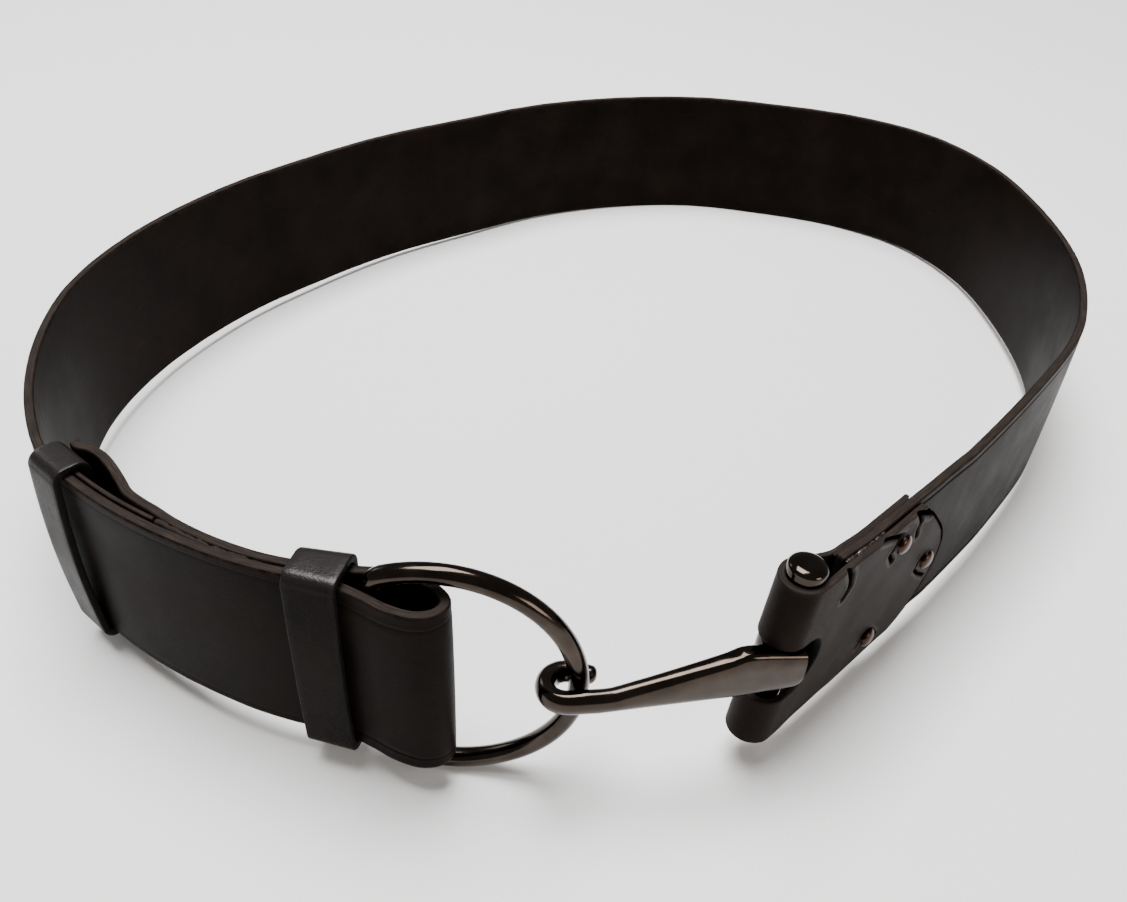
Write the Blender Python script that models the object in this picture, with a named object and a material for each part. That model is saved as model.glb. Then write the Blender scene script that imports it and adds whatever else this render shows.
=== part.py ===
"""Wide leather belt, closed in a loop by a metal hook through a D-shaped ring.

The strap stands on its edge. It is modelled in a plan frame: x to the right, y away
from the front, z up from the strap's lower edge. An empty then leans the whole belt
back until the ring's lowest point and the strap's back edge stand on one floor.
"""
import math

import bmesh
import bpy
import numpy as np
from mathutils import Vector

GAP = 0.0003

STRAP_WIDTH = 0.050
STRAP_THICKNESS = 0.0024
STRAP_CHAMFER = 0.0005

KEEPER_LENGTH = 0.0118
KEEPER_THICKNESS = 0.0018
KEEPER_CORNER = 0.0024
KEEPER_LOW_RISE = 0.0001

STAY_THICKNESS = 0.0012
STAY_FIRST_X = -0.0870
STAY_LAST_X = -0.1165
STAY_ROWS = 6

RING_WIRE_RADIUS = 0.0023
RING_ARC_RADIUS = 0.0305
RING_ARC_OFFSET = 0.0132
RING_CORNER_RADIUS = 0.0040
RING_HEIGHT = 0.0239
RING_BAR = (-0.0375, 0.1428)
RING_HEADING = math.radians(-2.4)

HOOK_HEIGHT = 0.0242
HOOK_BEND_RADIUS = 0.0047
HOOK_BEND_CENTRE = (0.0036, 0.1408)
HOOK_BEND_FROM = 80
HOOK_BEND_TURN = 190
HOOK_BEND_STEPS = 8
HOOK_POINT = 0.45
HOOK_POINT_SPAN = (0.0, 0.03)
HOOK_ARM_SPAN = (0.02, 0.14)
HOOK_RISE_SPAN = (0.13, 0.34)
HOOK_SHANK_SPAN = (0.42, 0.80)
HOOK_TIP_RADIUS = 0.0021
HOOK_TIP_DROP = 0.0015
HOOK_ARM_HALF_THICKNESS = 0.0023
HOOK_ARM_HALF_HEIGHT = 0.0030
HOOK_SHANK_HALF_THICKNESS = 0.0027
HOOK_SHANK_HALF_HEIGHT = 0.0064
HOOK_SHANK_RISE = 0.0023
HOOK_SHANK_SQUARENESS = 0.55
HOOK_EYE_RADIUS = 0.0052
HOOK_EYE_HALF_HEIGHT = 0.0049
HOOK_EYE_RISE = 0.0020
HOOK_EYE_CHAMFER = 0.0006

PIN_RADIUS = 0.0037
PIN_HEAD_RADIUS = 0.0045
PIN_HEAD_HEIGHT = 0.0036
PIN_HEAD_STRAIGHT = 0.55
PIN_HEAD_BEVEL = 0.0006
PIN_FOOT_HEIGHT = 0.0012
PIN_FOOT_CHAMFER = 0.0005
PIN_LEAN = math.radians(5.8)
PIN_PIVOT_HEIGHT = 0.0318

CHAPE_WIDTH = 0.0480
CHAPE_MIDDLE = 0.0255
CHAPE_THICKNESS = 0.0018
CHAPE_LEG_THICKNESS = 0.0013
CHAPE_CHAMFER = 0.0004
CHAPE_THINS_FROM = 0.62
CHAPE_THINS_TO = 0.72
CHAPE_LEAN_FROM = 0.1520
CHAPE_LEAN_TO = 0.1650
CHAPE_FOLD_RADIUS = 0.0050
CHAPE_FOLD_FROM = 78
CHAPE_FOLD_TURN = 240
CHAPE_FOLD_STEPS = 6
FLAP_CLEARANCE = 0.012
SLOT_END = 0.1550
SLOT_LOW = 0.0155
SLOT_HIGH = 0.0322
SLOT_CORNER = 0.0015

RIVET_HEAD_RADIUS = 0.0026
RIVET_HEAD_HEIGHT = 0.0014
RIVET_RIM = 0.0003
RIVET_BACK_HEIGHT = 0.0007
RIVET_SHANK_RADIUS = 0.0011

ROUND_SIDES = 24
RIVET_SIDES = 16

# The buckle side of the belt runs straight. Along is the distance in its direction and
# out is the distance towards the viewer's side, both from the plan frame's origin.
SIDE_DIRECTION = Vector((0.6816, 0.7317))
SIDE_OUTWARD = Vector((0.7317, -0.6816))
PIN_ALONG = 0.1459
PIN_OUT = -0.0658

# The buckle side also leans: its lower edge lies further in than its upper edge. The lean
# is whole up to the first distance along it and gone from the second.
SIDE_LEAN = math.radians(1.9)
SIDE_LEAN_WHOLE = 0.1900
SIDE_LEAN_GONE = 0.2450
SIDE_REACH = 0.012

# How far out the cutters reach: behind the whole buckle side, behind the flap alone, up to
# the chape's outer face, and in front of the flap.
CUT_INNER = -0.0760
CUT_FLAP_INNER = -0.0633
CUT_FACE = -0.0600
CUT_OUTER = -0.0540

# Middle of the strap's end between the two legs of the chape: along, out.
STRAP_END_LINE = (
    (0.2150, -0.0616),
    (0.2095, -0.0617),
    (0.2030, -0.0619),
    (0.1960, -0.0620),
    (0.1860, -0.0623),
    (0.1760, -0.0625),
    (0.1680, -0.0627),
    (0.1575, -0.0636),
)

# Middle of the chape's neck between the pin and the strap's end, outside and inside, and
# where its inner leg ends: along, out.
CHAPE_OUTER_NECK = ((0.1620, -0.0606), (0.1550, -0.0608))
CHAPE_INNER_NECK = ((0.1565, -0.0660), (0.1620, -0.0654))
LEG_END = 0.1875

# The flap's rounded end, from its lower edge to its upper one: along, height.
FLAP_END_LINE = (
    (0.1870, -0.0010),
    (0.1930, 0.0015),
    (0.1985, 0.0045),
    (0.2030, 0.0090),
    (0.2062, 0.0145),
    (0.2075, 0.0205),
    (0.2070, 0.0265),
    (0.2040, 0.0325),
    (0.1988, 0.0385),
    (0.1930, 0.0445),
    (0.1865, 0.0505),
)

# Outer face of the strap round the waist, from the near keeper clockwise: x, y.
LOOP_FACE = (
    (-0.0780, 0.1505),
    (-0.0920, 0.1570),
    (-0.1060, 0.1654),
    (-0.1203, 0.1770),
    (-0.1291, 0.1897),
    (-0.1377, 0.2080),
    (-0.1443, 0.2320),
    (-0.1463, 0.2570),
    (-0.1400, 0.2890),
    (-0.1230, 0.3250),
    (-0.1020, 0.3530),
    (-0.0780, 0.3790),
    (-0.0490, 0.4020),
    (-0.0180, 0.4240),
    (0.0160, 0.4380),
    (0.0510, 0.4440),
    (0.0850, 0.4400),
    (0.1180, 0.4310),
    (0.1440, 0.4140),
    (0.1610, 0.3850),
    (0.1675, 0.3480),
    (0.1665, 0.3070),
    (0.1580, 0.2760),
    (0.1465, 0.2535),
)

# Middle of the strap from its inner end, over the far keeper, through the near keeper
# and round the ring's bar to the front: x, y.
TAIL_LINE = (
    (-0.1148, 0.1832),
    (-0.1131, 0.1817),
    (-0.1097, 0.1808),
    (-0.1063, 0.1785),
    (-0.1030, 0.1752),
    (-0.0995, 0.1710),
    (-0.0959, 0.1665),
    (-0.0922, 0.1638),
    (-0.0878, 0.1611),
    (-0.0830, 0.1579),
    (-0.0760, 0.1542),
    (-0.0690, 0.1513),
    (-0.0620, 0.1490),
    (-0.0530, 0.1474),
    (-0.0440, 0.1467),
    (-0.0340, 0.1465),
    (-0.0285, 0.1450),
    (-0.0240, 0.1423),
    (-0.0219, 0.1392),
    (-0.0235, 0.1362),
    (-0.0275, 0.1350),
    (-0.0340, 0.1367),
    (-0.0385, 0.1391),
    (-0.0430, 0.1413),
    (-0.0470, 0.1429),
    (-0.0530, 0.1444),
    (-0.0600, 0.1458),
    (-0.0680, 0.1480),
)

# Middle of the hook from its tip to the bend, and from the bend to the eye: x, y.
HOOK_TIP_LINE = ((0.0102, 0.1446), (0.0075, 0.1452))
HOOK_SHANK_LINE = (
    (0.0100, 0.1366),
    (0.0200, 0.1390),
    (0.0326, 0.1424),
    (0.0440, 0.1456),
    (0.0566, 0.1491),
)

# Each keeper: name, plan centre x and y, headings of its front and back walls in
# degrees, the place of each wall's inner face across the strap towards the waist, and how
# far its top stands off the strap.
KEEPERS = (
    ("keeper_near", -0.0486, 0.1446, -13.0, -6.0, -0.0040, 0.0042, 0.0009),
    ("keeper_far", -0.1151, 0.1738, -38.5, -38.5, -0.0018, 0.0038, 0.0001),
)

# Each rivet: name, along, height above the strap's lower edge.
RIVETS = (
    ("rivet_upper", 0.1800, 0.0422),
    ("rivet_tip", 0.1995, 0.0245),
    ("rivet_lower", 0.1797, 0.0096),
)


def make_material(name, colour, metallic, roughness):
    """Return a plain Principled material."""
    material = bpy.data.materials.new(name)
    material.use_nodes = True
    shader = material.node_tree.nodes["Principled BSDF"]
    shader.inputs["Base Color"].default_value = (*colour, 1.0)
    shader.inputs["Metallic"].default_value = metallic
    shader.inputs["Roughness"].default_value = roughness
    return material


def side_point(along, out):
    """Return the plan point at a distance along and out of the buckle side."""
    return SIDE_DIRECTION * along + SIDE_OUTWARD * out


def ramp(value, start, end):
    """Return 0 before start, 1 after end and an even rise between them."""
    return min(1.0, max(0.0, (value - start) / (end - start)))


def lean_in(along, height):
    """Return how far out the buckle side's lean moves a point, which is never outwards."""
    share = 1.0 - ramp(along, SIDE_LEAN_WHOLE, SIDE_LEAN_GONE)
    return (height - STRAP_WIDTH) * math.tan(SIDE_LEAN) * share


def lean_rings(rings):
    """Move the points of rings that lie on the buckle side as it leans."""
    leaning = []
    for ring in rings:
        points = []
        for x, y, height in ring:
            along = SIDE_DIRECTION.dot(Vector((x, y)))
            out = SIDE_OUTWARD.dot(Vector((x, y)))
            if abs(out - PIN_OUT) < SIDE_REACH:
                shift = SIDE_OUTWARD * lean_in(along, height)
                x += shift.x
                y += shift.y
            points.append((x, y, height))
        leaning.append(points)
    return leaning


def smooth_path(points, spacing=0.0005):
    """Return a dense centripetal Catmull-Rom curve through plan points."""
    knots = np.array([tuple(point) for point in points])
    knots = np.vstack((2 * knots[0] - knots[1], knots, 2 * knots[-1] - knots[-2]))
    dense = []
    for first, start, end, last in zip(knots, knots[1:], knots[2:], knots[3:]):
        t1 = np.linalg.norm(start - first) ** 0.5
        t2 = t1 + np.linalg.norm(end - start) ** 0.5
        t3 = t2 + np.linalg.norm(last - end) ** 0.5
        count = max(2, math.ceil(np.linalg.norm(end - start) / spacing))
        for t in np.linspace(t1, t2, count, endpoint=False):
            a1 = (t1 - t) / t1 * first + t / t1 * start
            a2 = (t2 - t) / (t2 - t1) * start + (t - t1) / (t2 - t1) * end
            a3 = (t3 - t) / (t3 - t2) * end + (t - t2) / (t3 - t2) * last
            b1 = (t2 - t) / t2 * a1 + t / t2 * a2
            b2 = (t3 - t) / (t3 - t1) * a2 + (t - t1) / (t3 - t1) * a3
            dense.append((t2 - t) / (t2 - t1) * b1 + (t - t1) / (t2 - t1) * b2)
    dense.append(knots[-2])
    return np.array(dense)


def path_normals(path, closed=False):
    """Return the unit normals on the right of a path."""
    if closed:
        tangents = np.roll(path, -1, axis=0) - np.roll(path, 1, axis=0)
    else:
        tangents = np.gradient(path, axis=0)
    tangents /= np.linalg.norm(tangents, axis=1)[:, None]
    return np.stack((tangents[:, 1], -tangents[:, 0]), axis=1)


def thin_path(path, longest=0.008, sharpest=math.radians(9.0)):
    """Keep the stations that a path needs for its length and its turning."""
    keep = [0]
    length = 0.0
    turning = 0.0
    steps = np.diff(path, axis=0)
    headings = np.unwrap(np.arctan2(steps[:, 1], steps[:, 0]))
    for index in range(1, len(path) - 1):
        length += np.linalg.norm(steps[index - 1])
        turning += abs(headings[index] - headings[index - 1])
        if length > longest or turning > sharpest:
            keep.append(index)
            length = 0.0
            turning = 0.0
    keep.append(len(path) - 1)
    return path[keep]


def chamfered(thickness, width, chamfer):
    """Return a rectangular section with cut corners: across, up."""
    a = thickness / 2
    b = width / 2
    c = chamfer
    return [(a, c - b), (a, b - c), (a - c, b), (c - a, b),
            (-a, b - c), (-a, c - b), (c - a, -b), (a - c, -b)]


def oval(half_across, half_up, squareness, sides=12):
    """Return an oval section: squareness 1 is an ellipse, less is boxier."""
    section = []
    for index in range(sides):
        angle = 2 * math.pi * index / sides
        c = math.cos(angle)
        s = math.sin(angle)
        section.append((half_across * math.copysign(abs(c) ** squareness, c),
                        half_up * math.copysign(abs(s) ** squareness, s)))
    return section


def add_object(name, mesh_builder, material):
    """Make a named object from a filled bmesh and return it."""
    bmesh.ops.recalc_face_normals(mesh_builder, faces=mesh_builder.faces)
    mesh = bpy.data.meshes.new(name)
    mesh_builder.to_mesh(mesh)
    mesh_builder.free()
    if material:
        mesh.materials.append(material)
    piece = bpy.data.objects.new(name, mesh)
    bpy.context.collection.objects.link(piece)
    return piece


def sweep(name, rings, material, closed=False):
    """Bridge rings of points into one closed solid."""
    builder = bmesh.new()
    loops = [[builder.verts.new(point) for point in ring] for ring in rings]
    pairs = list(zip(loops, loops[1:]))
    if closed:
        pairs.append((loops[-1], loops[0]))
    count = len(loops[0])
    for ring, following in pairs:
        for index in range(count):
            after = (index + 1) % count
            builder.faces.new((ring[index], ring[after], following[after], following[index]))
    if not closed:
        builder.faces.new(loops[0])
        builder.faces.new(loops[-1])
    return add_object(name, builder, material)


def band_rings(path, section_at, height):
    """Return the rings of an upright band along a plan path."""
    rings = []
    for index, (point, normal) in enumerate(zip(path, path_normals(path))):
        share = index / (len(path) - 1)
        rings.append([(point[0] + normal[0] * across, point[1] + normal[1] * across, height + up)
                      for across, up in section_at(share)])
    return rings


def turned(name, profile, material, sides=ROUND_SIDES):
    """Spin a profile of radius and height about Z into a closed solid."""
    builder = bmesh.new()
    rings = []
    for radius, height in profile:
        rings.append([builder.verts.new((radius * math.cos(2 * math.pi * step / sides),
                                         radius * math.sin(2 * math.pi * step / sides), height))
                      for step in range(sides)])
    for ring, following in zip(rings, rings[1:]):
        for step in range(sides):
            after = (step + 1) % sides
            builder.faces.new((ring[step], ring[after], following[after], following[step]))
    builder.faces.new(rings[0])
    builder.faces.new(rings[-1])
    return add_object(name, builder, material)


def prism(name, outline, low, high):
    """Return a cutter: a plan-side outline of along and height, pushed out sideways."""
    builder = bmesh.new()
    ends = []
    for out in (low, high):
        ends.append([builder.verts.new((*side_point(along, out), height))
                     for along, height in outline])
    builder.faces.new(ends[0])
    builder.faces.new(ends[1])
    for index in range(len(outline)):
        after = (index + 1) % len(outline)
        builder.faces.new((ends[0][index], ends[0][after], ends[1][after], ends[1][index]))
    return add_object(name, builder, None)


def combine(piece, tool, operation):
    """Give a piece an exact Boolean with a tool that isn't part of the belt."""
    tool.hide_render = True
    tool.display_type = "WIRE"
    modifier = piece.modifiers.new(tool.name, "BOOLEAN")
    modifier.operation = operation
    modifier.solver = "EXACT"
    modifier.object = tool


def shade(piece, angle=35.0):
    """Shade a round piece smooth with its sharp edges kept."""
    piece.data.shade_smooth()
    piece.data.set_sharp_from_angle(angle=math.radians(angle))


def circle_outline(along, height, radius, sides=14):
    """Return a round outline of along and height."""
    return [(along + radius * math.cos(2 * math.pi * step / sides),
             height + radius * math.sin(2 * math.pi * step / sides)) for step in range(sides)]


def strap_path():
    """Return the middle line of the whole strap, from its inner end to its outer end."""
    face = np.array(LOOP_FACE)
    middle = list(face + path_normals(face) * STRAP_THICKNESS / 2)
    end = [side_point(along, out) for along, out in STRAP_END_LINE]
    return smooth_path([*TAIL_LINE, *middle, *end])


def build_strap(leather, hole_tools):
    """Build the main strap with its rivet holes."""
    section = chamfered(STRAP_THICKNESS, STRAP_WIDTH, STRAP_CHAMFER)
    path = thin_path(strap_path())
    rings = lean_rings(band_rings(path, lambda share: section, STRAP_WIDTH / 2))
    strap = sweep("strap", rings, leather)
    for tool in hole_tools:
        combine(strap, tool, "DIFFERENCE")
    shade(strap)
    return strap


def build_stay(leather):
    """Build the short strip between the main strap and its inner end."""
    face = np.array(LOOP_FACE[:STAY_ROWS])
    reach = STRAP_THICKNESS + GAP + STAY_THICKNESS / 2
    whole = smooth_path(face + path_normals(face) * reach)
    line = whole[(whole[:, 0] < STAY_FIRST_X) & (whole[:, 0] > STAY_LAST_X)]
    section = chamfered(STAY_THICKNESS, STRAP_WIDTH, STRAP_CHAMFER)
    stay = sweep("keeper_stay", band_rings(thin_path(line), lambda share: section,
                                           STRAP_WIDTH / 2), leather)
    shade(stay)
    return stay


def rounded_loop(low, high, bottom, top, radius, steps=4):
    """Return a rounded rectangle of across and height, counter-clockwise."""
    corners = ((high - radius, top - radius, 0), (low + radius, top - radius, 90),
               (low + radius, bottom + radius, 180), (high - radius, bottom + radius, 270))
    path = []
    for across, height, start in corners:
        for step in range(steps + 1):
            angle = math.radians(start + 90 * step / steps)
            path.append((across + radius * math.cos(angle), height + radius * math.sin(angle)))
    return np.array(path)


def build_keeper(leather, name, x, y, front_heading, back_heading, front_wall, back_wall,
                 top_rise):
    """Build one closed leather loop round the strap."""
    front = math.radians(front_heading)
    back = math.radians(back_heading)
    across = Vector((-math.sin(front), math.cos(front), 0))
    half = KEEPER_THICKNESS / 2
    path = rounded_loop(front_wall - half, back_wall + half, -GAP - half - KEEPER_LOW_RISE,
                        STRAP_WIDTH + GAP + half + top_rise, KEEPER_CORNER)
    section = chamfered(KEEPER_THICKNESS, KEEPER_LENGTH, STRAP_CHAMFER)
    rings = []
    for point, normal in zip(path, path_normals(path, closed=True)):
        heading = front + (back - front) * ramp(point[0], front_wall, back_wall)
        direction = Vector((math.cos(heading), math.sin(heading), 0))
        base = Vector((x, y, point[1])) + across * point[0]
        outward = across * normal[0] + Vector((0, 0, normal[1]))
        rings.append([base + outward * u + direction * v for u, v in section])
    keeper = sweep(name, rings, leather, closed=True)
    shade(keeper)
    return keeper


def ring_outline():
    """Return the D-shaped middle line: distance from the bar, height from its middle."""
    inner = RING_ARC_RADIUS - RING_CORNER_RADIUS
    offset = RING_ARC_OFFSET - RING_CORNER_RADIUS
    corner = math.sqrt(inner ** 2 - offset ** 2)
    swing = math.pi - math.atan2(corner, offset)
    path = []
    for step in range(1, 5):
        path.append((0.0, -corner + 2 * corner * step / 5))
    for step in range(6):
        angle = math.pi - (math.pi - swing) * step / 5
        path.append((RING_CORNER_RADIUS * (1 + math.cos(angle)),
                     corner + RING_CORNER_RADIUS * math.sin(angle)))
    for step in range(1, 30):
        angle = swing * (1 - step / 15)
        path.append((RING_ARC_OFFSET + RING_ARC_RADIUS * math.cos(angle),
                     RING_ARC_RADIUS * math.sin(angle)))
    for step in range(6):
        angle = -swing - (math.pi - swing) * step / 5
        path.append((RING_CORNER_RADIUS * (1 + math.cos(angle)),
                     -corner + RING_CORNER_RADIUS * math.sin(angle)))
    return np.array(path)


def build_ring(metal):
    """Build the D-shaped ring of round wire."""
    direction = Vector((math.cos(RING_HEADING), math.sin(RING_HEADING), 0))
    across = Vector((-direction.y, direction.x, 0))
    path = ring_outline()
    section = oval(RING_WIRE_RADIUS, RING_WIRE_RADIUS, 1.0)
    rings = []
    for point, normal in zip(path, path_normals(path, closed=True)):
        base = Vector((*RING_BAR, RING_HEIGHT)) + direction * point[0] + Vector((0, 0, point[1]))
        outward = direction * normal[0] + Vector((0, 0, normal[1]))
        rings.append([base + outward * u + across * v for u, v in section])
    ring = sweep("d_ring", rings, metal, closed=True)
    shade(ring, 60.0)
    return ring


def hook_path():
    """Return the hook's middle line in plan, from its tip round the ring to the eye."""
    centre = Vector(HOOK_BEND_CENTRE)
    path = [Vector(point) for point in HOOK_TIP_LINE]
    for step in range(HOOK_BEND_STEPS + 1):
        angle = math.radians(HOOK_BEND_FROM + HOOK_BEND_TURN * step / HOOK_BEND_STEPS)
        path.append(centre + HOOK_BEND_RADIUS * Vector((math.cos(angle), math.sin(angle))))
    path += [Vector(point) for point in HOOK_SHANK_LINE]
    return thin_path(smooth_path(path), 0.004, math.radians(16.0))


def hook_section(share):
    """Return the hook's section: a round tip, an oval arm and a flat shank."""
    arm = ramp(share, *HOOK_ARM_SPAN)
    drop = 1.0 - ramp(share, *HOOK_RISE_SPAN)
    shank = ramp(share, *HOOK_SHANK_SPAN)
    half_thickness = (HOOK_TIP_RADIUS + (HOOK_ARM_HALF_THICKNESS - HOOK_TIP_RADIUS) * arm
                      + (HOOK_SHANK_HALF_THICKNESS - HOOK_ARM_HALF_THICKNESS) * shank)
    half_height = (HOOK_TIP_RADIUS + (HOOK_ARM_HALF_HEIGHT - HOOK_TIP_RADIUS) * arm
                   + (HOOK_SHANK_HALF_HEIGHT - HOOK_ARM_HALF_HEIGHT) * shank)
    point = HOOK_POINT + (1.0 - HOOK_POINT) * ramp(share, *HOOK_POINT_SPAN)
    squareness = 1.0 - (1.0 - HOOK_SHANK_SQUARENESS) * shank
    section = oval(half_thickness * point, half_height * point, squareness)
    rise = HOOK_SHANK_RISE * shank - HOOK_TIP_DROP * drop
    return [(across, up + rise) for across, up in section]


def lean_with_pin(piece, height):
    """Place a turned piece on the pin's leaning axis, at a height above the strap's edge."""
    slope = SIDE_DIRECTION * math.tan(PIN_LEAN) + SIDE_OUTWARD * math.tan(SIDE_LEAN)
    piece.rotation_mode = "QUATERNION"
    piece.rotation_quaternion = Vector((*slope, 1)).to_track_quat("Z", "Y")
    along = PIN_ALONG + (height - PIN_PIVOT_HEIGHT) * math.tan(PIN_LEAN)
    foot = side_point(along, PIN_OUT + lean_in(PIN_ALONG, height))
    piece.location = (*foot, height)


def rim_tool():
    """Return the cutter that keeps the hook clear of the fold above the slot."""
    radius = CHAPE_FOLD_RADIUS + CHAPE_THICKNESS / 2 + GAP
    low = SLOT_HIGH - GAP - radius * math.tan(PIN_LEAN)
    tool = turned("rim_tool", ((radius, 0.0), (radius, HOOK_SHANK_HALF_HEIGHT)), None)
    lean_with_pin(tool, low)
    return tool


def wall_tool():
    """Return the cutter that keeps the hook clear of the chape's wall beside the slot."""
    low = SLOT_HIGH - SLOT_CORNER
    high = low + HOOK_SHANK_HALF_HEIGHT
    outline = [(PIN_ALONG, low), (SLOT_END, low), (SLOT_END, high), (PIN_ALONG, high)]
    return prism("wall_tool", outline, CUT_INNER, CUT_FACE)


def build_hook(metal):
    """Build the hook with its eye round the pin, and return it with its tools."""
    hook = sweep("hook", band_rings(hook_path(), hook_section, HOOK_HEIGHT), metal)
    half = HOOK_EYE_HALF_HEIGHT
    inset = HOOK_EYE_CHAMFER
    eye = turned("eye_tool", ((HOOK_EYE_RADIUS - inset, -half), (HOOK_EYE_RADIUS, inset - half),
                              (HOOK_EYE_RADIUS, half - inset), (HOOK_EYE_RADIUS - inset, half)),
                 None)
    bore = turned("bore_tool", ((PIN_RADIUS + GAP, -2 * half), (PIN_RADIUS + GAP, 2 * half)),
                  None)
    for tool in (eye, bore):
        lean_with_pin(tool, HOOK_HEIGHT + HOOK_EYE_RISE)
    combine(hook, eye, "UNION")
    cutters = [bore, rim_tool(), wall_tool()]
    for tool in cutters:
        combine(hook, tool, "DIFFERENCE")
    shade(hook, 40.0)
    return [hook, eye, *cutters]


def build_pin(metal):
    """Build the upright pin with its domed head and plain foot."""
    top = CHAPE_MIDDLE + CHAPE_WIDTH / 2 + GAP
    foot = CHAPE_MIDDLE - CHAPE_WIDTH / 2 - 2 * GAP
    dome_from = top + PIN_HEAD_HEIGHT * PIN_HEAD_STRAIGHT
    dome_height = PIN_HEAD_HEIGHT * (1.0 - PIN_HEAD_STRAIGHT)
    head = [(PIN_HEAD_RADIUS - PIN_HEAD_BEVEL, top), (PIN_HEAD_RADIUS, top + PIN_HEAD_BEVEL),
            (PIN_HEAD_RADIUS, dome_from)]
    for angle in (25, 50, 75):
        turn = math.radians(angle)
        head.append((PIN_HEAD_RADIUS * math.cos(turn), dome_from + dome_height * math.sin(turn)))
    profile = [(PIN_HEAD_RADIUS - PIN_FOOT_CHAMFER, foot - PIN_FOOT_HEIGHT),
               (PIN_HEAD_RADIUS, foot - PIN_FOOT_HEIGHT + PIN_FOOT_CHAMFER),
               (PIN_HEAD_RADIUS, foot), (PIN_RADIUS, foot), (PIN_RADIUS, top)] + head
    pin = turned("hook_pin", profile, metal)
    lean_with_pin(pin, 0)
    shade(pin)
    return pin


def chape_path():
    """Return the chape's middle line in plan: outer flap, fold round the pin, inner leg."""
    flap = STRAP_THICKNESS / 2 + GAP + CHAPE_THICKNESS / 2
    leg = STRAP_THICKNESS / 2 + GAP + CHAPE_LEG_THICKNESS / 2
    points = [side_point(along, out + flap) for along, out in STRAP_END_LINE[1:-1]]
    points += [side_point(along, out) for along, out in CHAPE_OUTER_NECK]
    for step in range(CHAPE_FOLD_STEPS + 1):
        angle = math.radians(CHAPE_FOLD_FROM + CHAPE_FOLD_TURN * step / CHAPE_FOLD_STEPS)
        points.append(side_point(PIN_ALONG + CHAPE_FOLD_RADIUS * math.cos(angle),
                                 PIN_OUT + CHAPE_FOLD_RADIUS * math.sin(angle)))
    points += [side_point(along, out) for along, out in CHAPE_INNER_NECK]
    points.append(side_point(STRAP_END_LINE[-2][0], STRAP_END_LINE[-2][1] - leg))
    points.append(side_point(STRAP_END_LINE[-3][0], STRAP_END_LINE[-3][1] - leg))
    points.append(side_point(LEG_END, STRAP_END_LINE[-4][1] - leg))
    return smooth_path(points)


def build_chape(leather, hole_tools):
    """Build the leather piece that folds round the pin and holds the strap's end."""
    path = thin_path(chape_path(), 0.006, math.radians(14.0))

    def section_at(share):
        thin = ramp(share, CHAPE_THINS_FROM, CHAPE_THINS_TO)
        thickness = CHAPE_THICKNESS + (CHAPE_LEG_THICKNESS - CHAPE_THICKNESS) * thin
        return chamfered(thickness, CHAPE_WIDTH, CHAPE_CHAMFER)

    rings = []
    for ring in lean_rings(band_rings(path, section_at, CHAPE_MIDDLE)):
        leaning = []
        for x, y, height in ring:
            along = SIDE_DIRECTION.dot(Vector((x, y)))
            share = 1.0 - ramp(along, CHAPE_LEAN_FROM, CHAPE_LEAN_TO)
            shift = SIDE_DIRECTION * (height - PIN_PIVOT_HEIGHT) * math.tan(PIN_LEAN) * share
            leaning.append((x + shift.x, y + shift.y, height))
        rings.append(leaning)
    chape = sweep("hook_chape", rings, leather)
    for tool in hole_tools:
        combine(chape, tool, "DIFFERENCE")
    shade(chape)
    return chape


def flap_end_tool():
    """Return the cutter that gives the flap its rounded end."""
    outline = list(FLAP_END_LINE)
    far = max(along for along, height in outline) + FLAP_CLEARANCE
    outline += [(far, outline[-1][1]), (far, outline[0][1])]
    return prism("flap_tool", outline, CUT_FLAP_INNER, CUT_OUTER)


def slot_tool():
    """Return the cutter for the slot that the hook's eye turns in."""
    radius = (SLOT_HIGH - SLOT_LOW) / 2
    middle = (SLOT_HIGH + SLOT_LOW) / 2
    front = PIN_ALONG - 2 * CHAPE_FOLD_RADIUS
    outline = [(front, SLOT_HIGH), (front, SLOT_LOW)]
    for step in range(11):
        angle = math.radians(-90 + 18 * step)
        outline.append((SLOT_END - radius + radius * math.cos(angle),
                        middle + radius * math.sin(angle)))
    return prism("slot_tool", outline, CUT_INNER, CUT_OUTER)


def rivet_station(along):
    """Return how far out the middle of the strap's end lies at a distance along."""
    table = sorted(STRAP_END_LINE)
    return float(np.interp(along, [row[0] for row in table], [row[1] for row in table]))


def build_rivet(metal, name, along, height):
    """Build one rivet: domed head outside, shank, and flat back inside."""
    out = rivet_station(along)
    front = STRAP_THICKNESS / 2 + GAP + CHAPE_THICKNESS + GAP
    back = -STRAP_THICKNESS / 2 - GAP - CHAPE_LEG_THICKNESS - GAP
    if along > LEG_END:
        back = -STRAP_THICKNESS / 2 - GAP
    profile = [(RIVET_HEAD_RADIUS - RIVET_RIM, back - RIVET_BACK_HEIGHT),
               (RIVET_HEAD_RADIUS, back - RIVET_RIM), (RIVET_HEAD_RADIUS, back),
               (RIVET_SHANK_RADIUS, back), (RIVET_SHANK_RADIUS, front),
               (RIVET_HEAD_RADIUS, front), (RIVET_HEAD_RADIUS, front + RIVET_RIM)]
    for angle in (28, 56, 78):
        turn = math.radians(angle)
        profile.append((RIVET_HEAD_RADIUS * math.cos(turn),
                        front + RIVET_RIM + (RIVET_HEAD_HEIGHT - RIVET_RIM) * math.sin(turn)))
    rivet = turned(name, profile, metal, RIVET_SIDES)
    outward = Vector((*SIDE_OUTWARD, 0))
    rivet.rotation_mode = "QUATERNION"
    rivet.rotation_quaternion = outward.to_track_quat("Z", "Y")
    rivet.location = (*side_point(along, out + lean_in(along, height)), height)
    shade(rivet)
    return rivet


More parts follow.
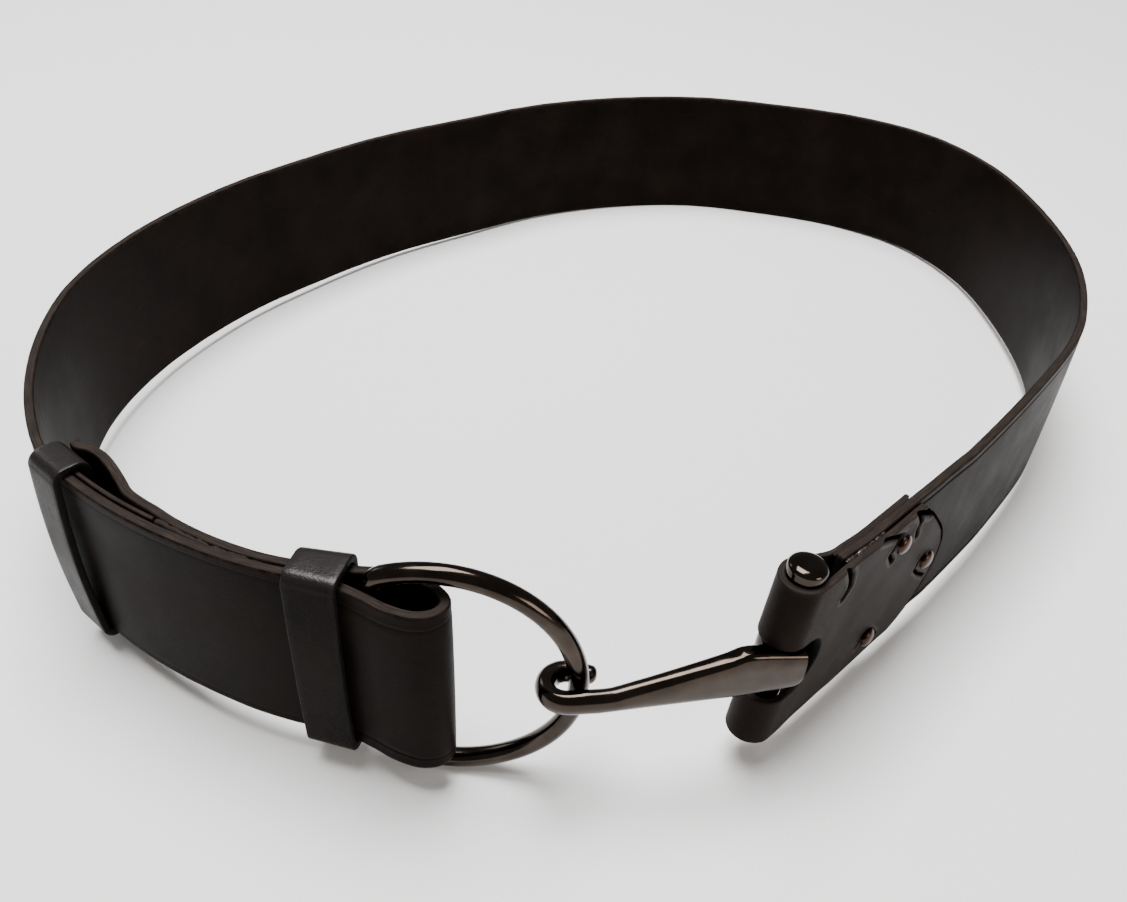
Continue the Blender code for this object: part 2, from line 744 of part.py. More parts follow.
def stand_belt(pieces):
    """Lean the belt back on the ring and the strap's back edge, over the origin."""
    ring_low = RING_HEIGHT - RING_ARC_RADIUS - RING_WIRE_RADIUS
    ring_y = RING_BAR[1] + RING_ARC_OFFSET * math.sin(RING_HEADING)
    back_y = max(y for x, y in LOOP_FACE)
    lean = math.atan2(ring_low, back_y - ring_y)
    frame = bpy.data.objects.new("belt_frame", None)
    bpy.context.collection.objects.link(frame)
    for piece in pieces:
        piece.parent = frame
    frame.rotation_euler = (lean, 0, 0)
    bpy.context.view_layer.update()
    graph = bpy.context.evaluated_depsgraph_get()
    corners = []
    for piece in pieces:
        if piece.hide_render:
            continue
        mesh = piece.evaluated_get(graph).data
        corners += [piece.matrix_world @ vertex.co for vertex in mesh.vertices]
    corners = np.array(corners)
    low = corners.min(axis=0)
    high = corners.max(axis=0)
    frame.location = (-(low[0] + high[0]) / 2, -(low[1] + high[1]) / 2, -low[2])
    bpy.context.view_layer.update()
    return frame


def build_belt():
    """Build every piece of the belt."""
    for old in list(bpy.data.objects):
        bpy.data.objects.remove(old, do_unlink=True)
    leather = make_material("strap_leather", (0.030, 0.024, 0.022), 0.0, 0.45)
    keeper_leather = make_material("keeper_leather", (0.034, 0.028, 0.028), 0.0, 0.38)
    metal = make_material("dark_nickel", (0.30, 0.27, 0.25), 1.0, 0.16)
    holes = [prism("hole_" + name, circle_outline(along, height, RIVET_SHANK_RADIUS + GAP),
                   CUT_INNER, CUT_OUTER) for name, along, height in RIVETS]
    flap_tool = flap_end_tool()
    slot = slot_tool()
    pieces = [build_strap(leather, holes), build_stay(keeper_leather), *build_hook(metal),
              build_ring(metal), build_pin(metal),
              build_chape(leather, [flap_tool, slot, *holes]), flap_tool, slot, *holes]
    pieces += [build_keeper(keeper_leather, *row) for row in KEEPERS]
    pieces += [build_rivet(metal, *row) for row in RIVETS]
    stand_belt(pieces)


build_belt()
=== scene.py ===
"""Wide leather belt, closed by a metal hook through a D-shaped ring: its finished look.

Every piece is modelled in a flat plan, as the belt would lie in a workshop: x to the
right, y away from the front and z up from the strap's lower edge. Stance then stands the
piece up in the model's frame. All sizes are in metres.
"""
from __future__ import annotations

import logging
import math
from dataclasses import dataclass
from enum import Enum
from typing import Any, Callable, Sequence

import bmesh
import bpy
from mathutils import Matrix, Vector, noise

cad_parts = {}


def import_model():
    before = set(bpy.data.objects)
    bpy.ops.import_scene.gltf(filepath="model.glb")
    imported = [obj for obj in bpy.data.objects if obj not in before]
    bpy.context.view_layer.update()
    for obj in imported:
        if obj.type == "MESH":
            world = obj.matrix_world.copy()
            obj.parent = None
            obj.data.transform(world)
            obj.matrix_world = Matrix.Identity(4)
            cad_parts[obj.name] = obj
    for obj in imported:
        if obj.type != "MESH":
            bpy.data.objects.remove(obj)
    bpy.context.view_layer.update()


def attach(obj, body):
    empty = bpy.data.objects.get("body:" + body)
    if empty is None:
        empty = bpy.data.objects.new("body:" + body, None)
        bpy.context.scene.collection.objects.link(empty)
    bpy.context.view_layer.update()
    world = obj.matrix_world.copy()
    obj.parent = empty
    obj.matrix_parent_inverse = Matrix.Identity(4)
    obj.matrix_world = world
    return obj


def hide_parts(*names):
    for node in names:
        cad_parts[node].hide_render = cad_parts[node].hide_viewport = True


LOG = logging.getLogger("belt")
BODY = "root"
STRAP_WIDTH = 0.050
STRAP_THICKNESS = 0.0024
GAP = 0.0003
ROUND_SIDES = 64

Point = Sequence[float]
Shape = Callable[[Vector], Vector]
Trio = tuple[float, float, float]
Piece = bpy.types.Object
Material = bpy.types.Material
Socket = bpy.types.NodeSocket


def ramp(value: float, start: float, end: float) -> float:
    """Return 0 before start, 1 after end and an even rise between them."""
    return min(1.0, max(0.0, (value - start) / (end - start)))


@dataclass(frozen=True)
class Stance:
    """How the flat plan stands in the model's frame."""

    lean: float = -0.02948579750955105
    shift: Trio = (-0.0108584, -0.2895246, 0.0130751)

    def matrix(self) -> Matrix:
        """Return the matrix from the plan to the model's frame."""
        return Matrix.Translation(self.shift) @ Matrix.Rotation(self.lean, 4, "X")

    def stand(self, piece: Piece) -> None:
        """Stand a finished piece up, with its place in its mesh."""
        piece.data.transform(self.matrix() @ piece.matrix_world)
        piece.matrix_world = Matrix()


@dataclass(frozen=True)
class BuckleSide:
    """The straight side that carries the hook: along it, and out towards the viewer."""

    direction: tuple[float, float] = (0.6816, 0.7317)
    outward: tuple[float, float] = (0.7317, -0.6816)
    pin_along: float = 0.1459
    pin_out: float = -0.0658
    pin_lean: float = math.radians(5.8)
    pivot_height: float = 0.0318
    side_lean: float = math.radians(1.9)
    lean_whole: float = 0.1900
    lean_gone: float = 0.2450
    reach: float = 0.012

    def point(self, along: float, out: float, height: float = 0.0) -> Vector:
        """Return the plan point at a distance along and out of the buckle side."""
        return Vector((self.direction[0] * along + self.outward[0] * out,
                       self.direction[1] * along + self.outward[1] * out, height))

    def lean_in(self, along: float, height: float) -> float:
        """Return how far out the side's lean moves a point, which is never outwards."""
        share = 1.0 - ramp(along, self.lean_whole, self.lean_gone)
        return (height - STRAP_WIDTH) * math.tan(self.side_lean) * share

    def leaning(self, spot: Vector) -> Vector:
        """Return a plan point moved as the side leans, if it lies on it.

        Args:
            spot: A plan point.

        Returns:
            The moved point.
        """
        along = self.direction[0] * spot.x + self.direction[1] * spot.y
        out = self.outward[0] * spot.x + self.outward[1] * spot.y
        if abs(out - self.pin_out) > self.reach:
            return spot
        return spot + Vector((*self.outward, 0.0)) * self.lean_in(along, spot.z)

    def pin_matrix(self, height: float) -> Matrix:
        """Return the place of something turned on the leaning pin at a height.

        Args:
            height: Height above the strap's lower edge.

        Returns:
            The matrix from upright at the origin to the pin.
        """
        along = self.pin_along + (height - self.pivot_height) * math.tan(self.pin_lean)
        foot = self.point(along, self.pin_out + self.lean_in(self.pin_along, height), height)
        axis = (Vector((*self.direction, 0.0)) * math.tan(self.pin_lean)
                + Vector((*self.outward, 0.0)) * math.tan(self.side_lean) + Vector((0, 0, 1)))
        return Matrix.Translation(foot) @ axis.to_track_quat("Z", "Y").to_matrix().to_4x4()


STANCE = Stance()
SIDE = BuckleSide()

# Middle of the strap's end between the two legs of the chape: along, out.
STRAP_END_LINE = (
    (0.2150, -0.0616), (0.2095, -0.0617), (0.2030, -0.0619), (0.1960, -0.0620),
    (0.1860, -0.0623), (0.1760, -0.0625), (0.1680, -0.0627), (0.1575, -0.0636),
)

# Middle of the chape's neck between the pin and the strap's end: along, out.
CHAPE_OUTER_NECK = ((0.1620, -0.0606), (0.1550, -0.0608))
CHAPE_INNER_NECK = ((0.1565, -0.0660), (0.1620, -0.0654))

# Outer face of the strap round the waist, from the near keeper clockwise: x, y.
LOOP_FACE = (
    (-0.0780, 0.1505), (-0.0920, 0.1570), (-0.1060, 0.1654), (-0.1203, 0.1770),
    (-0.1291, 0.1897), (-0.1377, 0.2080), (-0.1443, 0.2320), (-0.1463, 0.2570),
    (-0.1400, 0.2890), (-0.1230, 0.3250), (-0.1020, 0.3530), (-0.0780, 0.3790),
    (-0.0490, 0.4020), (-0.0180, 0.4240), (0.0160, 0.4380), (0.0510, 0.4440),
    (0.0850, 0.4400), (0.1180, 0.4310), (0.1440, 0.4140), (0.1610, 0.3850),
    (0.1675, 0.3480), (0.1665, 0.3070), (0.1580, 0.2760), (0.1465, 0.2535),
)

# Middle of the strap from its inner end, over the far keeper, through the near keeper
# and round the ring's bar to the front: x, y.
TAIL_LINE = (
    (-0.1148, 0.1832), (-0.1131, 0.1817), (-0.1097, 0.1808), (-0.1063, 0.1785),
    (-0.1030, 0.1752), (-0.0995, 0.1710), (-0.0959, 0.1665), (-0.0922, 0.1638),
    (-0.0878, 0.1611), (-0.0830, 0.1579), (-0.0760, 0.1542), (-0.0690, 0.1513),
    (-0.0620, 0.1490), (-0.0530, 0.1474), (-0.0440, 0.1467), (-0.0340, 0.1465),
    (-0.0285, 0.1450), (-0.0240, 0.1423), (-0.0219, 0.1392), (-0.0235, 0.1362),
    (-0.0275, 0.1350), (-0.0340, 0.1367), (-0.0385, 0.1391), (-0.0430, 0.1413),
    (-0.0470, 0.1429), (-0.0530, 0.1444), (-0.0600, 0.1458), (-0.0680, 0.1480),
)

# Middle of the seam between the strap and its inner end, away from the near keeper: x, y.
TAIL_SEAM = (
    (-0.0600, 0.1476), (-0.0690, 0.1498), (-0.0760, 0.1526), (-0.0820, 0.1556),
    (-0.0868, 0.1584),
)

# Middles of the chape's seams outside and inside the strap's end: along, out.
OUTER_SEAM = ((0.1572, -0.0619), (0.1625, -0.0616), (0.1680, -0.06135), (0.1722, -0.0613))
INNER_SEAM = ((0.1572, -0.0650), (0.1620, -0.0645), (0.1680, -0.06405), (0.1760, -0.06385),
              (0.1868, -0.06365))


# Finishes.


class Pattern(Enum):
    """What a finish's pattern follows."""

    BLANK = "the flat blank that the piece was cut from"
    OBJECT = "the object's own coordinates"


class NodeBench:
    """A material's node tree with short ways to add and join nodes."""

    def __init__(self, name: str, pattern: Pattern) -> None:
        """Start a material.

        Args:
            name: The material's name.
            pattern: What its pattern follows.
        """
        self.material = bpy.data.materials.new(name)
        self.material.use_nodes = True
        self.tree = self.material.node_tree
        self.shader = self.tree.nodes["Principled BSDF"]
        if pattern is Pattern.BLANK:
            self.place = self.add("ShaderNodeUVMap", uv_map="blank").outputs["UV"]
        else:
            self.place = self.add("ShaderNodeTexCoord").outputs["Object"]

    def add(self, kind: str, inputs: dict | None = None, **settings: Any) -> bpy.types.Node:
        """Add a node.

        Args:
            kind: The node's type name.
            inputs: Values, or sockets to join, by input name.
            **settings: The node's own properties.

        Returns:
            The new node.
        """
        node = self.tree.nodes.new(kind)
        for key, value in settings.items():
            setattr(node, key, value)
        for key, value in (inputs or {}).items():
            self.feed(node.inputs[key], value)
        return node

    def feed(self, target: Socket, value: Any) -> None:
        """Join a socket to another one, or set it to a plain value.

        Args:
            target: The socket to set.
            value: A socket or a plain value.
        """
        if isinstance(value, Socket):
            self.tree.links.new(value, target)
        else:
            target.default_value = value

    def stretched(self, scale: Point) -> Socket:
        """Return the pattern's coordinates scaled along each axis."""
        return self.add("ShaderNodeMapping", {"Vector": self.place, "Scale": scale}).outputs[0]

    def cloud(self, scale: float, detail: float = 3.0, rough: float = 0.5,
              place: Socket | None = None) -> Socket:
        """Return a noise value between 0 and 1.

        Args:
            scale: Features in a metre.
            detail: Layers of finer noise.
            rough: How strong the finer layers are.
            place: Coordinates, if not the pattern's own.

        Returns:
            The value's socket.
        """
        node = self.add("ShaderNodeTexNoise",
                        {"Vector": place or self.place, "Scale": scale, "Detail": detail,
                         "Roughness": rough})
        return node.outputs["Fac"]

    def band(self, value: Socket, low: float, high: float,
             to_low: float = 0.0, to_high: float = 1.0) -> Socket:
        """Return a value stretched from one range to another and clamped.

        Args:
            value: The value.
            low: Its lowest end.
            high: Its highest end.
            to_low: What the lowest end becomes.
            to_high: What the highest end becomes.

        Returns:
            The new value's socket.
        """
        node = self.add("ShaderNodeMapRange",
                        {"Value": value, "From Min": low, "From Max": high,
                         "To Min": to_low, "To Max": to_high})
        return node.outputs["Result"]

    def combine(self, operation: str, first: Socket, second: Socket) -> Socket:
        """Return two values joined by a Math node's operation."""
        return self.add("ShaderNodeMath", {0: first, 1: second}, operation=operation).outputs[0]

    def times(self, first: Socket, second: Socket) -> Socket:
        """Return the product of two values."""
        return self.combine("MULTIPLY", first, second)

    def blend(self, share: Socket, first: Socket | Trio, second: Socket | Trio) -> Socket:
        """Return a colour between two colours or colour sockets.

        Args:
            share: Share of the second colour.
            first: First colour.
            second: Second colour.

        Returns:
            The colour's socket.
        """
        node = self.add("ShaderNodeMix", {"Factor": share}, data_type="RGBA")
        ends = [socket for socket in node.inputs if socket.type == "RGBA"]
        for target, value in zip(ends, (first, second)):
            plain = not isinstance(value, Socket)
            self.feed(target, (*value, 1.0) if plain else value)
        return [socket for socket in node.outputs if socket.type == "RGBA"][0]

    def bump(self, height: Socket, distance: float, strength: float = 1.0,
             under: Socket | None = None) -> Socket:
        """Return a normal raised by a height, on top of another normal if given.

        Args:
            height: The height, from 0 to 1.
            distance: The height of 1.
            strength: Share of the bump that shows.
            under: The normal beneath it.

        Returns:
            The normal's socket.
        """
        inputs = {"Height": height, "Distance": distance, "Strength": strength}
        if under:
            inputs["Normal"] = under
        return self.add("ShaderNodeBump", inputs).outputs["Normal"]

    def finish(self, colour: Socket, roughness: Socket, normal: Socket,
               **constants: Any) -> Material:
        """Join the shader's main sockets and set its constants.

        Args:
            colour: Colour socket.
            roughness: Roughness socket.
            normal: Normal socket.
            **constants: Constant values by socket name, with _ for a space.

        Returns:
            The material.
        """
        for key, value in (("Base Color", colour), ("Roughness", roughness), ("Normal", normal)):
            self.feed(self.shader.inputs[key], value)
        for key, value in constants.items():
            self.shader.inputs[key.replace("_", " ")].default_value = value
        return self.material


@dataclass(frozen=True)
class GrainFinish:
    """Dyed and waxed face of the leather, with its pores, creases and worn edges.

    A piece may carry a point attribute: above 0 the pinched leather is painted dark, as burnt
    wax and painted shade; below 0 it is painted lighter, as painted highlight, and buffed
    glossier.
    """

    name: str
    deep: Trio = (0.0034, 0.0023, 0.0019)
    worn: Trio = (0.0078, 0.0053, 0.0043)
    # Lighter colour of worn edges and scuffs, and of painted highlight where the point attribute
    # is below 0.
    wear_and_highlight: Trio = (0.018, 0.012, 0.009)
    # Dark colour of burnt wax and painted shade in grooves, and of painted shade along the flap's
    # end.
    wax_and_shade: Trio = (0.0012, 0.0005, 0.0004)
    sheen: Trio = (1.0, 0.88, 0.79)
    sleek: float = 0.34
    dull: float = 0.50
    shine: float = 0.020
    buffed: float = 0.10
    pore_depth: float = 0.00003
    pore_scale: float = 1150.0
    fine_scale: float = 2600.0
    mottle_scale: float = 55.0
    broad_scale: float = 14.0
    rub_reach: float = 0.0016
    # Whether the grain follows the point attribute of painted shade and painted highlight.
    shade_and_highlight: bool = False
    blank_low: float = 0.0
    blank_high: float = STRAP_WIDTH

    def material(self) -> Material:
        """Return the finish as a material.

        Returns:
            The material.
        """
        bench = NodeBench(self.name, Pattern.BLANK)
        pores = bench.add("ShaderNodeTexVoronoi",
                          {"Vector": bench.place, "Scale": self.pore_scale, "Randomness": 1.0},
                          feature="DISTANCE_TO_EDGE").outputs["Distance"]
        fine = bench.cloud(self.fine_scale, 4.0, 0.6)
        mottle = bench.cloud(self.mottle_scale, 5.0, 0.55)
        broad = bench.cloud(self.broad_scale, 3.0, 0.5)
        streaks = bench.cloud(1.0, 3.0, 0.6, bench.stretched((35.0, 900.0, 1.0)))
        height = bench.add("ShaderNodeSeparateXYZ", {"Vector": bench.place}).outputs["Y"]
        low_rub = bench.band(height, self.blank_low, self.blank_low + self.rub_reach, 1.0, 0.0)
        high_rub = bench.band(height, self.blank_high - self.rub_reach, self.blank_high)
        rub = bench.combine("MAXIMUM", low_rub, high_rub)
        rub = bench.times(rub, bench.band(bench.cloud(260.0, 4.0, 0.65), 0.38, 0.66))
        scuff = bench.band(streaks, 0.60, 0.74)
        scuff = bench.times(scuff, bench.band(bench.cloud(38.0, 2.0), 0.52, 0.66))
        colour = bench.blend(bench.band(mottle, 0.35, 0.70), self.deep, self.worn)
        colour = bench.blend(bench.times(scuff, bench.band(fine, 0.3, 0.7, 0.15, 0.5)),
                             colour, self.wear_and_highlight)
        colour = bench.blend(rub, colour, self.wear_and_highlight)
        if self.shade_and_highlight:
            painted_light = bench.add("ShaderNodeAttribute", attribute_name="shade_and_highlight").outputs["Fac"]
            # Below 0: painted highlight, a lighter colour on crests and ridges.
            colour = bench.blend(bench.band(painted_light, -1.0, 0.0, 0.7, 0.0), colour, self.wear_and_highlight)
            # Above 0: burnt wax and painted shade, a dark colour in grooves and along the flap's
            # end.
            colour = bench.blend(bench.band(painted_light, 0.1, 0.5), colour, self.wax_and_shade)
            gloss = bench.band(painted_light, -1.0, 0.0, self.buffed, self.shine)
            gloss = bench.times(gloss, bench.band(painted_light, 0.0, 0.4, 1.0, 0.0))
            bench.feed(bench.shader.inputs["Specular IOR Level"], gloss)
        rough = bench.band(mottle, 0.3, 0.75, self.sleek, self.dull)
        rough = bench.combine("ADD", rough, bench.band(fine, 0.3, 0.7, -0.04, 0.05))
        normal = bench.bump(broad, 0.0010, 0.35)
        normal = bench.bump(mottle, 0.00018, 0.5, normal)
        normal = bench.bump(bench.band(pores, 0.0, 0.16), self.pore_depth, 0.55, normal)
        normal = bench.bump(fine, self.pore_depth * 0.5, 0.35, normal)
        normal = bench.bump(scuff, 0.00005, 0.6, normal)
        return bench.finish(colour, rough, normal, Specular_IOR_Level=self.shine,
                            Specular_Tint=(*self.sheen, 1.0))


@dataclass(frozen=True)
class CutEdgeFinish:
    """Cut edge of the leather: browner, rough, with fibres lying along it."""

    name: str
    deep: Trio = (0.0075, 0.0054, 0.0043)
    raw: Trio = (0.036, 0.026, 0.0205)

    def material(self) -> Material:
        """Return the finish as a material.

        Returns:
            The material.
        """
        bench = NodeBench(self.name, Pattern.BLANK)
        fibres = bench.cloud(1.0, 4.0, 0.65, bench.stretched((160.0, 2300.0, 1.0)))
        clumps = bench.cloud(130.0, 4.0, 0.6)
        crumbs = bench.cloud(1900.0, 3.0, 0.7)
        share = bench.times(bench.band(fibres, 0.35, 0.7),
                            bench.band(clumps, 0.30, 0.65, 0.25, 1.0))
        colour = bench.blend(share, self.deep, self.raw)
        rough = bench.band(clumps, 0.3, 0.7, 0.55, 0.82)
        normal = bench.bump(clumps, 0.0003, 0.5)
        normal = bench.bump(fibres, 0.00012, 0.8, normal)
        normal = bench.bump(crumbs, 0.00006, 0.6, normal)
        return bench.finish(colour, rough, normal, Specular_IOR_Level=0.10)


@dataclass(frozen=True)
class NickelFinish:
    """Polished dark nickel plate with faint rubs and smudges."""

    name: str
    dark: Trio = (0.030, 0.0235, 0.019)
    light: Trio = (0.050, 0.040, 0.033)
    smooth: float = 0.10
    smudged: float = 0.22

    def material(self) -> Material:
        """Return the finish as a material.

        Returns:
            The material.
        """
        bench = NodeBench(self.name, Pattern.OBJECT)
        smudges = bench.cloud(130.0, 4.0, 0.55)
        rubs = bench.cloud(1.0, 3.0, 0.6, bench.stretched((420.0, 1500.0, 2600.0)))
        ripple = bench.cloud(75.0, 2.0, 0.4)
        colour = bench.blend(bench.band(smudges, 0.35, 0.7), self.dark, self.light)
        rough = bench.band(smudges, 0.35, 0.75, self.smooth, self.smudged)
        rough = bench.combine("ADD", rough, bench.band(rubs, 0.62, 0.8, 0.0, 0.12))
        normal = bench.bump(ripple, 0.0003, 0.25)
        normal = bench.bump(rubs, 0.00002, 0.25, normal)
        return bench.finish(colour, rough, normal, Metallic=1.0)


@dataclass(frozen=True)
class GlueFinish:
    """Dark glue and wax squeezed out of a seam, glossy in places."""

    name: str = "seam_glue"
    hollow: Trio = (0.005, 0.004, 0.004)
    crest: Trio = (0.030, 0.022, 0.017)

    def material(self) -> Material:
        """Return the finish as a material.

        Returns:
            The material.
        """
        bench = NodeBench(self.name, Pattern.OBJECT)
        lumps = bench.cloud(900.0, 3.0, 0.5)
        colour = bench.blend(bench.band(lumps, 0.45, 0.65), self.hollow, self.crest)
        rough = bench.band(lumps, 0.35, 0.65, 0.16, 0.45)
        normal = bench.bump(lumps, 0.00025, 0.8)
        return bench.finish(colour, rough, normal, Specular_IOR_Level=0.6)


@dataclass(frozen=True)
class PaperFinish:
    """Pale studio paper with a faint tooth."""

    name: str = "studio_paper"
    colour: Trio = (0.86, 0.86, 0.86)
    lift: float = 1.03

    def material(self) -> Material:
        """Return the finish as a material.

        Returns:
            The material.
        """
        bench = NodeBench(self.name, Pattern.OBJECT)
        tooth = bench.cloud(700.0, 3.0, 0.6)
        paler = tuple(part * self.lift for part in self.colour)
        colour = bench.blend(tooth, self.colour, paler)
        return bench.finish(colour, bench.band(tooth, 0.3, 0.7, 0.8, 0.9),
                            bench.bump(tooth, 0.00005, 0.2), Specular_IOR_Level=0.2)


# Workbench and lines.


class Workbench:
    """The hand tools that every sub-assembly uses."""

    @staticmethod
    def clear() -> None:
        """Leave edit mode and deselect everything."""
        if bpy.context.object and bpy.context.object.mode != "OBJECT":
            bpy.ops.object.mode_set(mode="OBJECT")
        bpy.ops.object.select_all(action="DESELECT")

    @classmethod
    def take(cls, piece: Piece) -> None:
        """Make a piece the only selected and the active one.

        Args:
            piece: The piece.
        """
        cls.clear()
        piece.select_set(True)
        bpy.context.view_layer.objects.active = piece

    @classmethod
    def fresh(cls, name: str) -> Piece:
        """Name the primitive just added and settle its place in its mesh.

        Args:
            name: The new piece's name.

        Returns:
            The piece.
        """
        piece = bpy.context.object
        piece.name = name
        piece.data.name = name
        cls.take(piece)
        bpy.ops.object.transform_apply(location=True, rotation=True, scale=True)
        return piece

    @classmethod
    def edit(cls, piece: Piece) -> None:
        """Open a piece in edit mode with nothing selected.

        Args:
            piece: The piece.
        """
        cls.take(piece)
        bpy.ops.object.mode_set(mode="EDIT")
        bpy.ops.mesh.select_all(action="DESELECT")

    @staticmethod
    def pick_edges(piece: Piece, test: Callable[[Vector, Vector], bool]) -> None:
        """Select the edges whose two ends pass a test, in edge mode.

        Args:
            piece: The piece in edit mode.
            test: Tells from an edge's two ends whether it is picked.
        """
        bpy.ops.mesh.select_mode(type="EDGE")
        mesh = bmesh.from_edit_mesh(piece.data)
        for edge in mesh.edges:
            edge.select_set(test(edge.verts[0].co, edge.verts[1].co))
        bmesh.update_edit_mesh(piece.data)

    @staticmethod
    def pick_faces(piece: Piece, test: Callable[[Vector, Vector], bool]) -> None:
        """Select the faces whose middle and normal pass a test, in face mode.

        Args:
            piece: The piece in edit mode.
            test: Tells from a face's middle and normal whether it is picked.
        """
        bpy.ops.mesh.select_mode(type="FACE")
        mesh = bmesh.from_edit_mesh(piece.data)
        mesh.normal_update()
        for face in mesh.faces:
            face.select_set(test(face.calc_center_median(), face.normal))
        bmesh.update_edit_mesh(piece.data)

    @classmethod
    def slice(cls, piece: Piece, *cuts: int) -> None:
        """Divide the edges along x of the open mesh, round by round.

        Args:
            piece: The piece in edit mode.
            *cuts: Number of cuts of each round.
        """
        for number in cuts:
            cls.pick_edges(piece, lambda a, b: (abs(a.x - b.x) > 0.001
                                                and (a - b).length - abs(a.x - b.x) < 0.000001))
            bpy.ops.mesh.subdivide(number_cuts=number)

    @staticmethod
    def score(places: Sequence[float], normal: Point) -> None:
        """Cut the open mesh across at every place along an axis.

        Args:
            places: Distances along the axis.
            normal: The axis.
        """
        for place in places:
            bpy.ops.mesh.select_all(action="SELECT")
            bpy.ops.mesh.bisect(plane_co=[part * place for part in normal], plane_no=normal)

    @classmethod
    def close(cls, piece: Piece, merge: float = 0.000001) -> None:
        """Merge doubles, turn the faces outwards and leave edit mode.

        Args:
            piece: The piece.
            merge: Distance below which points are merged.
        """
        if piece.mode != "EDIT":
            cls.edit(piece)
        bpy.ops.mesh.select_all(action="SELECT")
        bpy.ops.mesh.remove_doubles(threshold=merge)
        bpy.ops.mesh.normals_make_consistent(inside=False)
        bpy.ops.object.mode_set(mode="OBJECT")

    @classmethod
    def apply(cls, piece: Piece, kind: str, **settings: Any) -> None:
        """Give a piece a modifier and apply it.

        Args:
            piece: The piece.
            kind: The modifier's type name.
            **settings: The modifier's own properties.
        """
        cls.take(piece)
        modifier = piece.modifiers.new(kind.title(), kind)
        for key, value in settings.items():
            setattr(modifier, key, value)
        bpy.ops.object.modifier_apply(modifier=modifier.name)

    @staticmethod
    def reshape(piece: Piece, shape: Shape) -> None:
        """Move every vertex where a shape says.

        Args:
            piece: The piece.
            shape: Returns the new place of a point.
        """
        for vertex in piece.data.vertices:
            vertex.co = shape(vertex.co)
        piece.data.update()

    @staticmethod
    def trace(curve: bpy.types.Curve, points: Sequence[Point], closed: bool = False) -> None:
        """Draw a line through points into a curve.

        Args:
            curve: The curve's data.
            points: The points.
            closed: Whether the line returns to its start.
        """
        spline = curve.splines.new("POLY")
        spline.points.add(len(points) - 1)
        for target, point in zip(spline.points, points):
            target.co = (point[0], point[1], 0.0, 1.0)
        spline.use_cyclic_u = closed

    @classmethod
    def bend(cls, piece: Piece, line: Sequence[Vector]) -> None:
        """Bend a straight piece along a plan line; its x is the distance along it.

        Args:
            piece: The straight piece.
            line: The points of the line.
        """
        curve = bpy.data.curves.new("bending_line", "CURVE")
        curve.dimensions = "3D"
        curve.twist_mode = "Z_UP"
        cls.trace(curve, line)
        former = bpy.data.objects.new("bending_line", curve)
        bpy.context.collection.objects.link(former)
        bpy.context.view_layer.update()
        cls.apply(piece, "CURVE", object=former, deform_axis="POS_X")
        bpy.data.objects.remove(former)

    @classmethod
    def turn(cls, name: str, profile: Sequence[Point], sides: int) -> Piece:
        """Raise a turned piece from a disc, ring by ring.

        Args:
            name: The piece's name.
            profile: Radius and height of each ring, from the bottom.
            sides: How many sides the round has.

        Returns:
            The closed piece, upright on the origin.
        """
        cls.clear()
        radius, height = profile[0]
        bpy.ops.mesh.primitive_circle_add(vertices=sides, radius=radius, fill_type="NGON",
                                          location=(0, 0, height))
        piece = cls.fresh(name)
        cls.edit(piece)
        bpy.ops.mesh.select_mode(type="FACE")
        bpy.ops.mesh.select_all(action="SELECT")
        for wider, higher in profile[1:]:
            bpy.ops.mesh.extrude_region_move(
                TRANSFORM_OT_translate={"value": (0, 0, higher - height)})
            bpy.ops.transform.resize(value=(wider / radius, wider / radius, 1.0),
                                     center_override=(0, 0, higher))
            radius, height = wider, higher
        cls.close(piece)
        return piece

    @staticmethod
    def copy(pattern: Piece, name: str) -> Piece:
        """Return a copy of a piece, with its own mesh.

        Args:
            pattern: The piece to copy.
            name: The copy's name.

        Returns:
            The copy.
        """
        piece = pattern.copy()
        piece.data = pattern.data.copy()
        piece.name = name
        piece.data.name = name
        bpy.context.collection.objects.link(piece)
        return piece

    @classmethod
    def bar(cls, name: str, length: float, thickness: float, width: float,
            round_off: float) -> Piece:
        """Cut a straight leather blank along x, with its lower edge at z 0.

        Args:
            name: The piece's name.
            length: Length along x.
            thickness: Thickness along y, half on each side.
            width: Width along z.
            round_off: How far each of its edges is rounded.

        Returns:
            The blank.
        """
        cls.clear()
        bpy.ops.mesh.primitive_cube_add(size=1.0, location=(length / 2, 0, width / 2),
                                        scale=(length, thickness, width))
        piece = cls.fresh(name)
        cls.edit(piece)
        bpy.ops.mesh.select_all(action="SELECT")
        bpy.ops.mesh.bevel(offset=round_off, segments=3, profile=0.5)
        bpy.ops.object.mode_set(mode="OBJECT")
        return piece

    @staticmethod
    def chart(piece: Piece, place: Callable[[Vector, Vector], Point]) -> None:
        """Write where a piece lies on its leather as a UV map, in metres.

        Args:
            piece: The piece, before it is bent.
            place: Returns a point's place on the leather from its face's normal and itself.
        """
        mesh = piece.data
        while mesh.uv_layers:
            mesh.uv_layers.remove(mesh.uv_layers[0])
        chart = mesh.uv_layers.new(name="blank")
        for face in mesh.polygons:
            for loop in face.loop_indices:
                spot = mesh.vertices[mesh.loops[loop].vertex_index].co
                chart.data[loop].uv = place(face.normal, spot)

    @staticmethod
    def on_blank(normal: Vector, spot: Vector) -> Point:
        """Return a place on a flat blank: along and up, or along and across its edge."""
        return (spot.x, spot.z) if abs(normal.y) > 0.45 else (spot.x + spot.z, spot.y)

